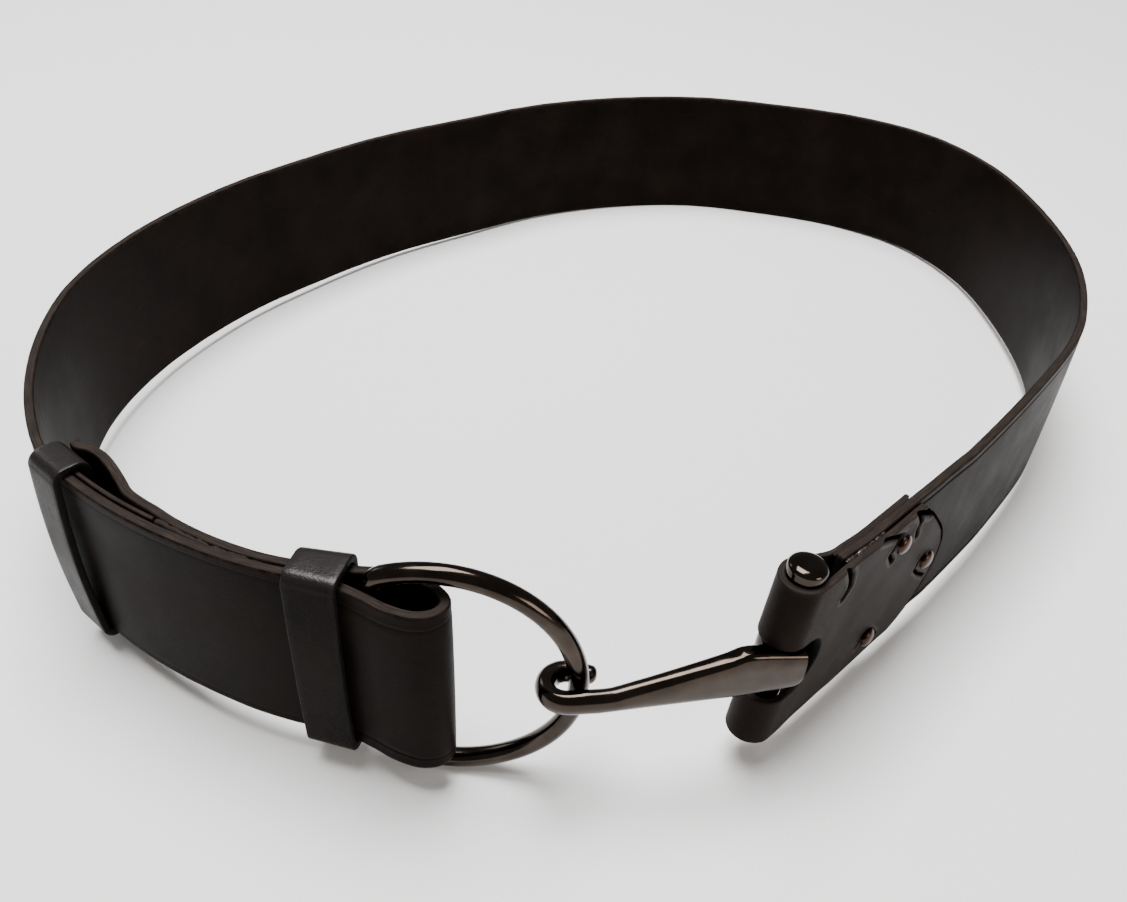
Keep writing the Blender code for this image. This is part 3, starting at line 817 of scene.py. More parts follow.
    @staticmethod
    def edge_slots(piece: Piece, grain: Material, edge: Material,
                   burnished_and_shaded: Material | None = None) -> None:
        """Give a flat blank its grain on the faces and its raw finish on the cut edges.

        Args:
            piece: The flat blank.
            grain: Finish of its faces.
            edge: Finish of its edges along x.
            burnished_and_shaded: Finish of its other edges, if it differs.
        """
        flat = 0.90 if burnished_and_shaded else 0.45
        for finish in (grain, edge, burnished_and_shaded or edge):
            piece.data.materials.append(finish)
        for face in piece.data.polygons:
            if abs(face.normal.y) > flat:
                face.material_index = 0
            elif abs(face.normal.z) > 0.75 * math.hypot(face.normal.x, face.normal.z):
                face.material_index = 1
            else:
                face.material_index = 2

    @classmethod
    def smooth(cls, piece: Piece, degrees: float = 40.0) -> None:
        """Shade a piece smooth, with its sharp edges kept."""
        cls.take(piece)
        bpy.ops.object.shade_smooth_by_angle(angle=math.radians(degrees))

    @staticmethod
    def hand_over(piece: Piece, slot: str, *nodes: str) -> None:
        """Stand a piece up and put it in the place of CAD nodes.

        Args:
            piece: The piece in the plan.
            slot: Its material slot; not used.
            *nodes: The nodes that it replaces.
        """
        STANCE.stand(piece)
        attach(piece, BODY)
        if nodes:
            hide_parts(*nodes)


def swell(distance: float, radius: float) -> float:
    """Return 1 at no distance, falling softly to 0 at a radius.

    Args:
        distance: How far away a point is.
        radius: Where the swell ends.

    Returns:
        The share, from 0 to 1.
    """
    if distance >= radius:
        return 0.0
    return 0.5 + 0.5 * math.cos(math.pi * distance / radius)


def round_over(share: float) -> float:
    """Return a quarter circle's height at a share of its width: 0 at 0 and 1 at 1."""
    return math.sqrt(max(0.0, 1.0 - (1.0 - share) ** 2))


def smooth_line(points: Sequence[Point], spacing: float = 0.0005) -> list[Vector]:
    """Return a dense centripetal Catmull-Rom curve through plan points.

    Args:
        points: The points that it passes.
        spacing: The largest step along it.

    Returns:
        The curve's points.
    """
    knots = [Vector(point[:2]) for point in points]
    knots = [2 * knots[0] - knots[1], *knots, 2 * knots[-1] - knots[-2]]
    dense = []
    for first, start, end, last in zip(knots, knots[1:], knots[2:], knots[3:]):
        t1 = (start - first).length ** 0.5
        t2 = t1 + (end - start).length ** 0.5
        t3 = t2 + (last - end).length ** 0.5
        count = max(2, math.ceil((end - start).length / spacing))
        for step in range(count):
            t = t1 + (t2 - t1) * step / count
            a1 = (t1 - t) / t1 * first + t / t1 * start
            a2 = (t2 - t) / (t2 - t1) * start + (t - t1) / (t2 - t1) * end
            a3 = (t3 - t) / (t3 - t2) * end + (t - t2) / (t3 - t2) * last
            b1 = (t2 - t) / t2 * a1 + t / t2 * a2
            b2 = (t3 - t) / (t3 - t1) * a2 + (t - t1) / (t3 - t1) * a3
            dense.append((t2 - t) / (t2 - t1) * b1 + (t - t1) / (t2 - t1) * b2)
    dense.append(knots[-2])
    return dense


def offset_line(points: Sequence[Point], distance: float) -> list[Vector]:
    """Return points moved to the right of their line by a distance.

    Args:
        points: The line's points.
        distance: How far to the right.

    Returns:
        The moved points.
    """
    moved = []
    for index, point in enumerate(points):
        before = Vector(points[max(0, index - 1)][:2])
        after = Vector(points[min(len(points) - 1, index + 1)][:2])
        if 0 < index < len(points) - 1:
            here = Vector(point[:2])
            heading = ((here - before) + (after - here)).normalized()
        else:
            heading = (after - before).normalized()
        moved.append(Vector(point[:2]) + Vector((heading.y, -heading.x)) * distance)
    return moved


def line_length(line: Sequence[Vector]) -> float:
    """Return a line's length."""
    return sum((end - start).length for start, end in zip(line, line[1:]))


# Leather.


@dataclass
class MainStrap:
    """The wide strap: folded round the ring at one end, held in the chape at the other."""

    crease_inset: float = 0.0024
    fold_crease_inset: float = 0.0042
    crease_depth: float = 0.00032
    crease_half_width: float = 0.00055
    faint: float = 0.12
    fold_row: int = 19
    fold_reach: float = 0.034
    side_reach: float = 0.150
    round_off: float = 0.00055
    crown: float = 0.00022
    unevenness: float = 0.00010
    wave_scale: float = 26.0
    edge_scale: float = 120.0
    slices: tuple[int, int] = (35, 32)

    def line(self) -> list[Vector]:
        """Return the strap's middle line from its inner end to its outer end.

        Returns:
            The line's points in the plan.
        """
        middle = offset_line(LOOP_FACE, STRAP_THICKNESS / 2)
        end = [SIDE.point(along, out) for along, out in STRAP_END_LINE]
        return smooth_line([*TAIL_LINE, *middle, *end])

    def emboss(self, spot: Vector) -> Vector:
        """Press the crease lines into the grain side and swell its middle.

        Args:
            spot: A point of the flat piece.

        Returns:
            The moved point.
        """
        moved = spot.copy()
        if spot.y > STRAP_THICKNESS * 0.3:
            inset = min(spot.z, STRAP_WIDTH - spot.z)
            at_fold = swell(abs(spot.x - self.fold_at - self.fold_reach / 2), self.fold_reach)
            at_side = ramp(spot.x, self.length - self.side_reach,
                           self.length - self.side_reach * 0.6)
            line = self.crease_inset + (self.fold_crease_inset - self.crease_inset) * at_fold
            depth = self.crease_depth * max(self.faint, 0.5 * at_fold, at_side)
            moved.y -= depth * swell(abs(inset - line), self.crease_half_width)
            share = ramp(inset, self.crease_inset, STRAP_WIDTH / 2)
            moved.y += self.crown * math.sin(share * math.pi / 2) ** 0.6
        wave = noise.noise(Vector((spot.x * self.wave_scale, spot.z * self.wave_scale, 3.0)))
        moved.y += self.unevenness * wave
        edge = noise.noise(Vector((spot.x * self.edge_scale, 0.0, 9.0)))
        if min(spot.z, STRAP_WIDTH - spot.z) < self.round_off:
            moved.z += self.unevenness * edge
        return moved

    def build(self) -> Piece:
        """Cut, emboss and bend the strap.

        Returns:
            The strap in the plan.
        """
        line = self.line()
        self.length = line_length(line)
        self.fold_at = line_length(smooth_line(TAIL_LINE[:self.fold_row]))
        piece = Workbench.bar("belt_strap", self.length, STRAP_THICKNESS, STRAP_WIDTH,
                              self.round_off)
        Workbench.edit(piece)
        half = self.crease_half_width
        rows = [0.0012]
        rows += [self.crease_inset + half * step / 2 for step in range(-2, 9)]
        rows += [0.006, 0.012, 0.018]
        rows += [STRAP_WIDTH - row for row in reversed(rows)]
        rows.insert(len(rows) // 2, STRAP_WIDTH / 2)
        Workbench.score(rows, (0, 0, 1))
        Workbench.slice(piece, *self.slices)
        bpy.ops.object.mode_set(mode="OBJECT")
        Workbench.chart(piece, Workbench.on_blank)
        Workbench.edge_slots(piece, GrainFinish("strap_grain").material(),
                             CutEdgeFinish("strap_edge").material())
        Workbench.reshape(piece, self.emboss)
        Workbench.bend(piece, line)
        Workbench.reshape(piece, SIDE.leaning)
        Workbench.smooth(piece)
        Workbench.hand_over(piece, "strap_leather", "strap")
        return piece


@dataclass
class KeeperStay:
    """The thin strip between the main strap and its inner end."""

    thickness: float = 0.0012
    first_x: float = -0.0870
    last_x: float = -0.1165
    rows: int = 6
    round_off: float = 0.0004
    spans_up: int = 8
    spans_along: int = 30

    def build(self) -> Piece:
        """Cut and bend the strip.

        Returns:
            The strip in the plan.
        """
        reach = STRAP_THICKNESS + GAP + self.thickness / 2
        whole = smooth_line(offset_line(LOOP_FACE[:self.rows], reach))
        line = [point for point in whole if self.last_x < point.x < self.first_x]
        length = line_length(line)
        piece = Workbench.bar("belt_keeper_stay", length, self.thickness, STRAP_WIDTH,
                              self.round_off)
        Workbench.edit(piece)
        Workbench.score([STRAP_WIDTH * row / self.spans_up
                         for row in range(1, self.spans_up)], (0, 0, 1))
        Workbench.score([length * row / self.spans_along
                         for row in range(1, self.spans_along)], (1, 0, 0))
        bpy.ops.object.mode_set(mode="OBJECT")
        Workbench.chart(piece, Workbench.on_blank)
        Workbench.edge_slots(piece, GrainFinish("stay_grain").material(),
                             CutEdgeFinish("stay_edge").material())
        Workbench.bend(piece, line)
        Workbench.smooth(piece)
        Workbench.hand_over(piece, "keeper_leather", "keeper_stay")
        return piece


@dataclass
class Keeper:
    """A closed leather loop round the strap."""

    node: str
    x: float
    y: float
    front_heading: float
    back_heading: float
    front_wall: float
    back_wall: float
    top_rise: float
    bulge: float = 0.0004
    length: float = 0.0118
    thickness: float = 0.0018
    corner: float = 0.0024
    low_rise: float = 0.0001
    rim: float = 0.00045
    # Facing upwards between these, the keeper's top gets painted highlight and more gloss.
    crest_light_from: float = 0.10
    crest_light_to: float = 0.95
    rim_facing: float = 0.6
    waver: float = 0.00015
    spans_up: int = 24

    def lay(self, spot: Vector) -> Vector:
        """Return where a point of the straight loop lies round the strap.

        Args:
            spot: A point of the straight loop.

        Returns:
            Its place in the plan.
        """
        share = ramp(spot.y, self.front_wall, self.back_wall)
        front = math.radians(self.front_heading)
        heading = front + (math.radians(self.back_heading) - front) * share
        across = Vector((-math.sin(front), math.cos(front), 0.0))
        along = Vector((math.cos(heading), math.sin(heading), 0.0))
        middle = ramp(abs(spot.z - STRAP_WIDTH / 2), STRAP_WIDTH / 2, 0.0)
        belly = self.bulge * math.sin(middle * math.pi / 2)
        depth = spot.y - belly * (1.0 - share)
        waver = self.waver * noise.noise(Vector((spot.y * 90.0, spot.z * 60.0, self.x * 70.0)))
        return (Vector((self.x, self.y, spot.z)) + across * depth
                + along * (spot.x * (1.0 - 0.02 * middle) + waver))

    def build(self) -> Piece:
        """Form the loop from a block, hollow it and lay it round the strap.

        Returns:
            The keeper in the plan.
        """
        low = self.front_wall - self.thickness
        high = self.back_wall + self.thickness
        bottom = -GAP - self.thickness - self.low_rise
        top = STRAP_WIDTH + GAP + self.thickness + self.top_rise
        Workbench.clear()
        bpy.ops.mesh.primitive_cube_add(
            size=1.0, location=(0, (low + high) / 2, (bottom + top) / 2),
            scale=(self.length, high - low, top - bottom))
        piece = Workbench.fresh("belt_" + self.node)
        Workbench.edit(piece)
        Workbench.pick_edges(piece, lambda a, b: abs(a.x - b.x) > self.length / 2)
        bpy.ops.mesh.bevel(offset=self.corner + self.thickness / 2, segments=8, profile=0.5)
        Workbench.pick_faces(piece, lambda centre, normal: abs(normal.x) > 0.9)
        bpy.ops.mesh.delete(type="FACE")
        bpy.ops.object.mode_set(mode="OBJECT")
        Workbench.apply(piece, "SOLIDIFY", thickness=self.thickness, offset=-1.0,
                        use_even_offset=True)
        Workbench.apply(piece, "BEVEL", width=self.rim, segments=3, limit_method="ANGLE",
                        angle_limit=math.radians(60))
        Workbench.edit(piece)
        Workbench.score([self.length * share / 12 for share in range(-4, 5, 2)], (1, 0, 0))
        Workbench.score([bottom + (top - bottom) * row / self.spans_up
                         for row in range(2, self.spans_up - 1)], (0, 0, 1))
        Workbench.close(piece)
        self.dress(piece)
        Workbench.reshape(piece, self.lay)
        Workbench.smooth(piece, 50.0)
        Workbench.hand_over(piece, "keeper_leather", self.node)
        return piece

    def dress(self, piece: Piece) -> None:
        """Chart the loop as the strip that it was bent from, and give it its finishes.

        Args:
            piece: The straight loop.
        """
        mesh = piece.data
        # The lighter grey colour marks the worn side edges and, on the crest, a painted highlight.
        grain = GrainFinish(self.node + "_grain", wear_and_highlight=(0.0110, 0.0098, 0.0098),
                            sheen=(1.0, 0.95, 0.93), sleek=0.22, dull=0.38, buffed=0.24,
                            shade_and_highlight=True, blank_low=-self.length / 2,
                            blank_high=self.length / 2)
        # Much darker cut edges than the strap's: painted shade of the keeper's shadowed edges.
        edge = CutEdgeFinish(self.node + "_edge", deep=(0.0012, 0.0008, 0.0007),
                             raw=(0.0060, 0.0042, 0.0034))
        for finish in (grain, edge):
            mesh.materials.append(finish.material())
        # Points of the top that face upwards get a value below 0: painted highlight, lighter and
        # glossier, on the crest.
        painted_light = mesh.attributes.new("shade_and_highlight", "FLOAT", "POINT")
        for vertex, target in zip(mesh.vertices, painted_light.data):
            if vertex.co.z > STRAP_WIDTH:
                target.value = -ramp(vertex.normal.z, self.crest_light_from, self.crest_light_to)
        Workbench.chart(piece, self.on_strip)
        for face in mesh.polygons:
            face.material_index = 1 if abs(face.normal.x) > self.rim_facing else 0

    def on_strip(self, normal: Vector, spot: Vector) -> Point:
        """Return a place on the loop's strip: round the loop and across it."""
        round_way = spot.z if abs(normal.z) < 0.7 else spot.y + 0.1
        return round_way, spot.y if abs(normal.x) > self.rim_facing else spot.x


@dataclass
class Chape:
    """The leather piece that folds round the pin and holds the strap's end."""

    width: float = 0.0480
    middle: float = 0.0255
    thickness: float = 0.0018
    leg_thickness: float = 0.0013
    thins_from: float = 0.62
    thins_to: float = 0.72
    fold_radius: float = 0.0050
    leg_end: float = 0.1875
    fold_from: float = 78.0
    fold_turn: float = 240.0
    fold_steps: int = 6
    slot_end: float = 0.1550
    slot_low: float = 0.0155
    slot_high: float = 0.0322
    lean_from: float = 0.1520
    lean_to: float = 0.1650
    round_off: float = 0.0004
    start_along: float = 0.2095
    fine_to: float = 0.1500
    # Sets how wide the painted shade along the flap's end is.
    outline_shade: float = 0.0007
    low_corner: float = 0.1912
    high_corner: float = 0.1874
    slot_steps: int = 16
    rim_rise: float = 0.16
    pebble: float = 0.00008
    pebble_scale: float = 140.0
    fine: float = 0.0004
    coarse: float = 0.0008
    first_row: float = 0.0022
    row_step: float = 0.00055
    rows: int = 86

    # The flap's rounded end, from its lower edge: along, height.
    flap_end = (
        (0.1930, 0.0015), (0.1985, 0.0045), (0.2030, 0.0090), (0.2062, 0.0145),
        (0.2075, 0.0205), (0.2070, 0.0265), (0.2040, 0.0325), (0.1988, 0.0385),
        (0.1930, 0.0445), (0.1885, 0.0486),
    )

    # Dents round the rivets: along, height, radius, depth.
    dents = (
        (0.1800, 0.0422, 0.0050, 0.00050),
        (0.1995, 0.0245, 0.0046, 0.00050),
        (0.1797, 0.0096, 0.0046, 0.00045),
    )

    # Pinched grooves in the flap: half width, depth, then points of along and height.
    grooves = (
        (0.0008, 0.00080, ((0.1690, 0.0500), (0.1724, 0.0486), (0.1776, 0.0460),
                           (0.1764, 0.0436), (0.1750, 0.0416), (0.1776, 0.0380))),
        (0.0007, 0.00070, ((0.1840, 0.0492), (0.1868, 0.0450), (0.1864, 0.0430),
                           (0.1876, 0.0398))),
        (0.0010, 0.00085, ((0.1838, 0.0495), (0.1880, 0.0470), (0.1915, 0.0450))),
        (0.0009, 0.00080, ((0.1540, 0.0500), (0.1572, 0.0459), (0.1582, 0.0425),
                           (0.1565, 0.0398))),
        (0.0006, 0.00055, ((0.1976, 0.0276), (0.1960, 0.0256), (0.1956, 0.0228),
                           (0.1985, 0.0197), (0.2030, 0.0162))),
        (0.0006, 0.00045, ((0.1760, 0.0084), (0.1780, 0.0110), (0.1815, 0.0108),
                           (0.1858, 0.0060))),
    )

    def line(self) -> list[Vector]:
        """Return the chape's middle line: outer flap, fold round the pin, inner leg.

        Returns:
            The line's points in the plan.
        """
        flap = STRAP_THICKNESS / 2 + GAP + self.thickness / 2
        leg = STRAP_THICKNESS / 2 + GAP + self.leg_thickness / 2
        points = [SIDE.point(along, out + flap) for along, out in STRAP_END_LINE[1:-1]]
        points += [SIDE.point(along, out) for along, out in CHAPE_OUTER_NECK]
        for step in range(self.fold_steps + 1):
            angle = math.radians(self.fold_from + self.fold_turn * step / self.fold_steps)
            points.append(SIDE.point(SIDE.pin_along + self.fold_radius * math.cos(angle),
                                     SIDE.pin_out + self.fold_radius * math.sin(angle)))
        points += [SIDE.point(along, out) for along, out in CHAPE_INNER_NECK]
        points.append(SIDE.point(STRAP_END_LINE[-2][0], STRAP_END_LINE[-2][1] - leg))
        points.append(SIDE.point(STRAP_END_LINE[-3][0], STRAP_END_LINE[-3][1] - leg))
        points.append(SIDE.point(self.leg_end, STRAP_END_LINE[-4][1] - leg))
        return smooth_line(points)

    def slot_span(self, line: Sequence[Vector]) -> tuple[float, float]:
        """Return where along the flat piece the slot begins and ends.

        Args:
            line: The chape's middle line.

        Returns:
            The distances of the slot's two ends along the line.
        """
        reached = 0.0
        inside = []
        direction = Vector(SIDE.direction)
        for start, end in zip(line, line[1:]):
            reached += (end - start).length
            if direction.dot(end) < self.slot_end:
                inside.append(reached)
        return inside[0], inside[-1]

    def pattern(self, line: Sequence[Vector]) -> Piece:
        """Cut the flat piece from its paper pattern.

        Args:
            line: The line that it will be bent along.

        Returns:
            The flat piece: x along the line, z its height.
        """
        length = line_length(line)
        low = self.middle - self.width / 2
        high = self.middle + self.width / 2
        end = smooth_line([(self.start_along - along, height) for along, height in self.flap_end],
                          0.0008)
        outline = [(length, low), (self.start_along - self.low_corner, low), *end,
                   (self.start_along - self.high_corner, high), (length, high)]
        first, last = self.slot_span(line)
        radius = (self.slot_high - self.slot_low) / 2
        centre = (self.slot_high + self.slot_low) / 2
        slot = []
        for middle, turn in ((last - radius, -90), (first + radius, 90)):
            for step in range(self.slot_steps + 1):
                angle = math.radians(turn + 180 * step / self.slot_steps)
                slot.append((middle + radius * math.cos(angle),
                             centre + radius * math.sin(angle)))
        curve = bpy.data.curves.new("chape_pattern", "CURVE")
        curve.dimensions = "2D"
        curve.fill_mode = "BOTH"
        curve.extrude = self.thickness / 2 - self.round_off
        curve.bevel_depth = self.round_off
        curve.bevel_resolution = 2
        curve.offset = -self.round_off
        for points in (outline, slot):
            Workbench.trace(curve, points, closed=True)
        piece = bpy.data.objects.new("belt_chape", curve)
        bpy.context.collection.objects.link(piece)
        Workbench.take(piece)
        bpy.ops.object.convert(target="MESH")
        piece = bpy.context.object
        piece.rotation_euler = (math.radians(90), 0, 0)
        Workbench.take(piece)
        bpy.ops.object.transform_apply(location=True, rotation=True, scale=True)
        return piece

    def pinched(self, here: Vector) -> Trio:
        """Return what the maker's tools did at a point of the flap, with the painted shade and
        highlight.

        Args:
            here: Along and height.

        Returns:
            Pressing depth, the share of burnt wax and painted shade, and of painted highlight.
        """
        drop = 0.0
        for at, height, radius, depth in self.dents:
            drop += depth * swell((here - Vector((at, height))).length, radius)
        groove = 0.0
        wax_and_shade = 0.0
        wear_and_highlight = 0.0
        for half_width, depth, points in self.grooves:
            distance = self.distance(here, points)
            groove = max(groove, depth * swell(distance, half_width * 1.3))
            wax_and_shade = max(wax_and_shade, swell(distance, half_width * 1.2))
            rim = swell(abs(distance - 2.0 * half_width), half_width)
            wear_and_highlight = max(wear_and_highlight, rim)
            drop -= self.rim_rise * depth * rim
        return drop + groove, wax_and_shade, wear_and_highlight

    def press(self, spot: Vector) -> Vector:
        """Return a flat piece's point with its thinning, dents and grooves.

        Args:
            spot: A point of the flat piece.

        Returns:
            The moved point.
        """
        moved = spot.copy()
        share = spot.x / self.length
        thin = ramp(share, self.thins_from, self.thins_to)
        moved.y *= 1.0 + (self.leg_thickness / self.thickness - 1.0) * thin
        along = self.start_along - spot.x
        if along < self.fine_to:
            return moved
        front = ramp(spot.y, -self.thickness / 2, self.thickness / 2)
        moved.y -= self.pinched(Vector((along, spot.z)))[0] * front
        pebbles = noise.noise(Vector((along * self.pebble_scale, spot.z * self.pebble_scale, 1.0)))
        moved.y += self.pebble * front * pebbles
        return moved

    def record_painted_light(self, piece: Piece) -> None:
        """Write the grain's attribute: burnt wax and painted shade above 0, painted highlight
        below.

        Args:
            piece: The flat piece.
        """
        painted_light = piece.data.attributes.new("shade_and_highlight", "FLOAT", "POINT")
        for vertex, target in zip(piece.data.vertices, painted_light.data):
            along = self.start_along - vertex.co.x
            here = Vector((along, vertex.co.z))
            if along < self.fine_to or vertex.co.y < 0:
                continue
            _, wax_and_shade, wear_and_highlight = self.pinched(here)
            # Painted shade along the flap's end.
            outline_shade = swell(self.distance(here, self.flap_end), self.outline_shade * 2)
            target.value = max(wax_and_shade, outline_shade) or -wear_and_highlight

    @staticmethod
    def distance(here: Vector, points: Sequence[Point]) -> float:
        """Return the distance from a point to a line of points.

        Args:
            here: The point.
            points: The line's points.

        Returns:
            The distance.
        """
        nearest = 1.0
        for start, end in zip(points, points[1:]):
            first = Vector(start)
            span = Vector(end) - first
            share = min(1.0, max(0.0, (here - first).dot(span) / span.length_squared))
            nearest = min(nearest, (here - first - span * share).length)
        return nearest

    def lean(self, spot: Vector) -> Vector:
        """Return a bent point leaning with the pin.

        Args:
            spot: A point of the bent piece.

        Returns:
            The moved point.
        """
        direction = Vector((*SIDE.direction, 0.0))
        share = 1.0 - ramp(direction.dot(spot), self.lean_from, self.lean_to)
        reach = (spot.z - SIDE.pivot_height) * math.tan(SIDE.pin_lean) * share
        return SIDE.leaning(spot) + direction * reach

    def build(self) -> Piece:
        """Cut the chape from its pattern, press it and fold it round the pin.

        Returns:
            The chape in the plan.
        """
        line = self.line()
        self.length = line_length(line)
        piece = self.pattern(line)
        flap = self.start_along - self.fine_to
        columns = [self.fine * step for step in range(1, int(flap / self.fine))]
        columns += [flap + self.coarse * step
                    for step in range(int((self.length - flap - self.coarse) / self.coarse))]
        rows = [self.first_row + self.row_step * step for step in range(self.rows)]
        Workbench.edit(piece)
        Workbench.score(columns, (1, 0, 0))
        Workbench.score(rows, (0, 0, 1))
        Workbench.close(piece)
        Workbench.chart(piece, Workbench.on_blank)
        # The chape's grain is coloured lighter than the strap's: painted light on the flap, which
        # faces the right-hand lamp.
        Workbench.edge_slots(piece, GrainFinish("chape_grain", deep=(0.0078, 0.0056, 0.0045),
                                                worn=(0.0148, 0.0107, 0.0087),
                                                wear_and_highlight=(0.024, 0.019, 0.016), shine=0.018,
                                                buffed=0.04, shade_and_highlight=True,
                                                blank_low=0.0015).material(),
                             CutEdgeFinish("chape_edge").material(),
                             # Darker flap end and other edges: burnished, and painted shade of the
                             # gap beside them.
                             CutEdgeFinish("chape_burnished_shade", deep=(0.0008, 0.0006, 0.0005),
                                           raw=(0.0030, 0.0020, 0.0016)).material())
        self.record_painted_light(piece)
        Workbench.reshape(piece, self.press)
        Workbench.bend(piece, line)
        Workbench.reshape(piece, self.lean)
        Workbench.smooth(piece, 50.0)
        Workbench.hand_over(piece, "strap_leather", "hook_chape")
        return piece


@dataclass
class SeamGlue:
    """An uneven line of glue and leather dust along the top of a seam."""

    name: str
    points: Sequence[Point]
    finish: Material
    start_radius: float
    end_radius: float
    height: float
    slices: int = 90

    def build(self) -> Piece:
        """Draw the bead out of a thin rod and let it waver.

        Returns:
            The bead in the plan.
        """
        line = smooth_line(self.points)
        length = line_length(line)
        Workbench.clear()
        bpy.ops.mesh.primitive_cylinder_add(vertices=12, radius=1.0, depth=length,
                                            location=(length / 2, 0, 0),
                                            rotation=(0, math.radians(90), 0))
        piece = Workbench.fresh(self.name)
        Workbench.edit(piece)
        Workbench.slice(piece, self.slices)
        bpy.ops.object.mode_set(mode="OBJECT")
        Workbench.reshape(piece, lambda spot: self.waver(spot, length))
        Workbench.bend(piece, line)
        Workbench.reshape(piece, SIDE.leaning)
        Workbench.smooth(piece, 60.0)
        piece.data.materials.append(self.finish)
        Workbench.hand_over(piece, "strap_leather")
        return piece

    def waver(self, spot: Vector, length: float) -> Vector:
        """Return a point of the rod with its lumps and its wander.

        Args:
            spot: A point of the plain rod.
            length: The rod's length.

        Returns:
            The moved point.
        """
        radius = self.start_radius + (self.end_radius - self.start_radius) * spot.x / length
        taper = math.sqrt(min(1.0, 60.0 * min(spot.x, length - spot.x) / length) + 0.02)
        lump = (0.80 + 0.5 * noise.noise(Vector((spot.x * 700.0, 0.0, 2.0)))) * taper * radius
        side = 0.35 * radius * noise.noise(Vector((spot.x * 330.0, 5.0, 0.0)))
        rise = 0.00018 * noise.noise(Vector((spot.x * 420.0, 0.0, 7.0)))
        return Vector((spot.x, spot.y * lump + side, self.height + spot.z * lump + rise))


def build_seams() -> list[Piece]:
    """Fill the chape's seams and the seam where the strap's inner end meets the strap.

    Returns:
        The three beads in the plan.
    """
    glue = GlueFinish().material()
    fibre = CutEdgeFinish("seam_fibre").material()
    outer = [SIDE.point(along, out) for along, out in OUTER_SEAM]
    inner = [SIDE.point(along, out) for along, out in INNER_SEAM]
    beads = (SeamGlue("belt_seam_glue", outer, glue, 0.00060, 0.00040, 0.04940),
             SeamGlue("belt_seam_fibre", inner, fibre, 0.00050, 0.00040, 0.04930),
             SeamGlue("belt_tail_fibre", TAIL_SEAM, fibre, 0.00050, 0.00100, 0.04920))
    return [bead.build() for bead in beads]


# Metal.


def finish_metal(piece: Piece, plate: Material, node: str, degrees: float = 40.0) -> Piece:
    """Smooth and plate a metal piece and put it in the place of a CAD node.

    Args:
        piece: The piece in the plan.
        plate: Its finish.
        node: The CAD node.
        degrees: The angle from which an edge stays sharp.

    Returns:
        The finished piece.
    """
    Workbench.smooth(piece, degrees)
    piece.data.materials.clear()
    piece.data.materials.append(plate)
    Workbench.hand_over(piece, "dark_nickel", node)
    return piece


@dataclass
class DRing:
    """The D-shaped ring of round wire in the strap's fold."""

    wire: float = 0.0023
    arc: float = 0.0305
    offset: float = 0.0132
    corner: float = 0.0040
    height: float = 0.0239
    bar: tuple[float, float] = (-0.0375, 0.1428)
    heading: float = math.radians(-2.4)
    sides: int = 28
    bar_steps: int = 6
    corner_steps: int = 14
    arc_steps: int = 110

    def build(self) -> Piece:
        """Draw the bar, spin both corners and the arc, and close the ring.

        Returns:
            The ring in the plan.
        """
        inner = self.arc - self.corner
        reach = self.offset - self.corner
        bend = math.sqrt(inner ** 2 - reach ** 2)
        swing = math.pi - math.atan2(bend, reach)
        Workbench.clear()
        bpy.ops.mesh.primitive_circle_add(vertices=self.sides, radius=self.wire,
                                          location=(0, 0, -bend))
        piece = Workbench.fresh("belt_d_ring")
        Workbench.edit(piece)
        bpy.ops.mesh.select_mode(type="EDGE")
        bpy.ops.mesh.select_all(action="SELECT")
        rise = 2 * bend / self.bar_steps
        for _ in range(self.bar_steps):
            bpy.ops.mesh.extrude_region_move(TRANSFORM_OT_translate={"value": (0, 0, rise)})
        turn = math.pi - swing
        for steps, angle, centre in ((self.corner_steps, turn, (self.corner, 0, bend)),
                                     (self.arc_steps, 2 * swing, (self.offset, 0, 0)),
                                     (self.corner_steps, turn, (self.corner, 0, -bend))):
            bpy.ops.mesh.spin(steps=steps, angle=angle, center=centre, axis=(0, -1, 0))
        Workbench.close(piece, 0.00002)
        piece.data.transform(Matrix.Translation((*self.bar, self.height))
                             @ Matrix.Rotation(self.heading, 4, "Z"))
        return finish_metal(piece, NickelFinish("ring_nickel").material(), "d_ring", 60.0)


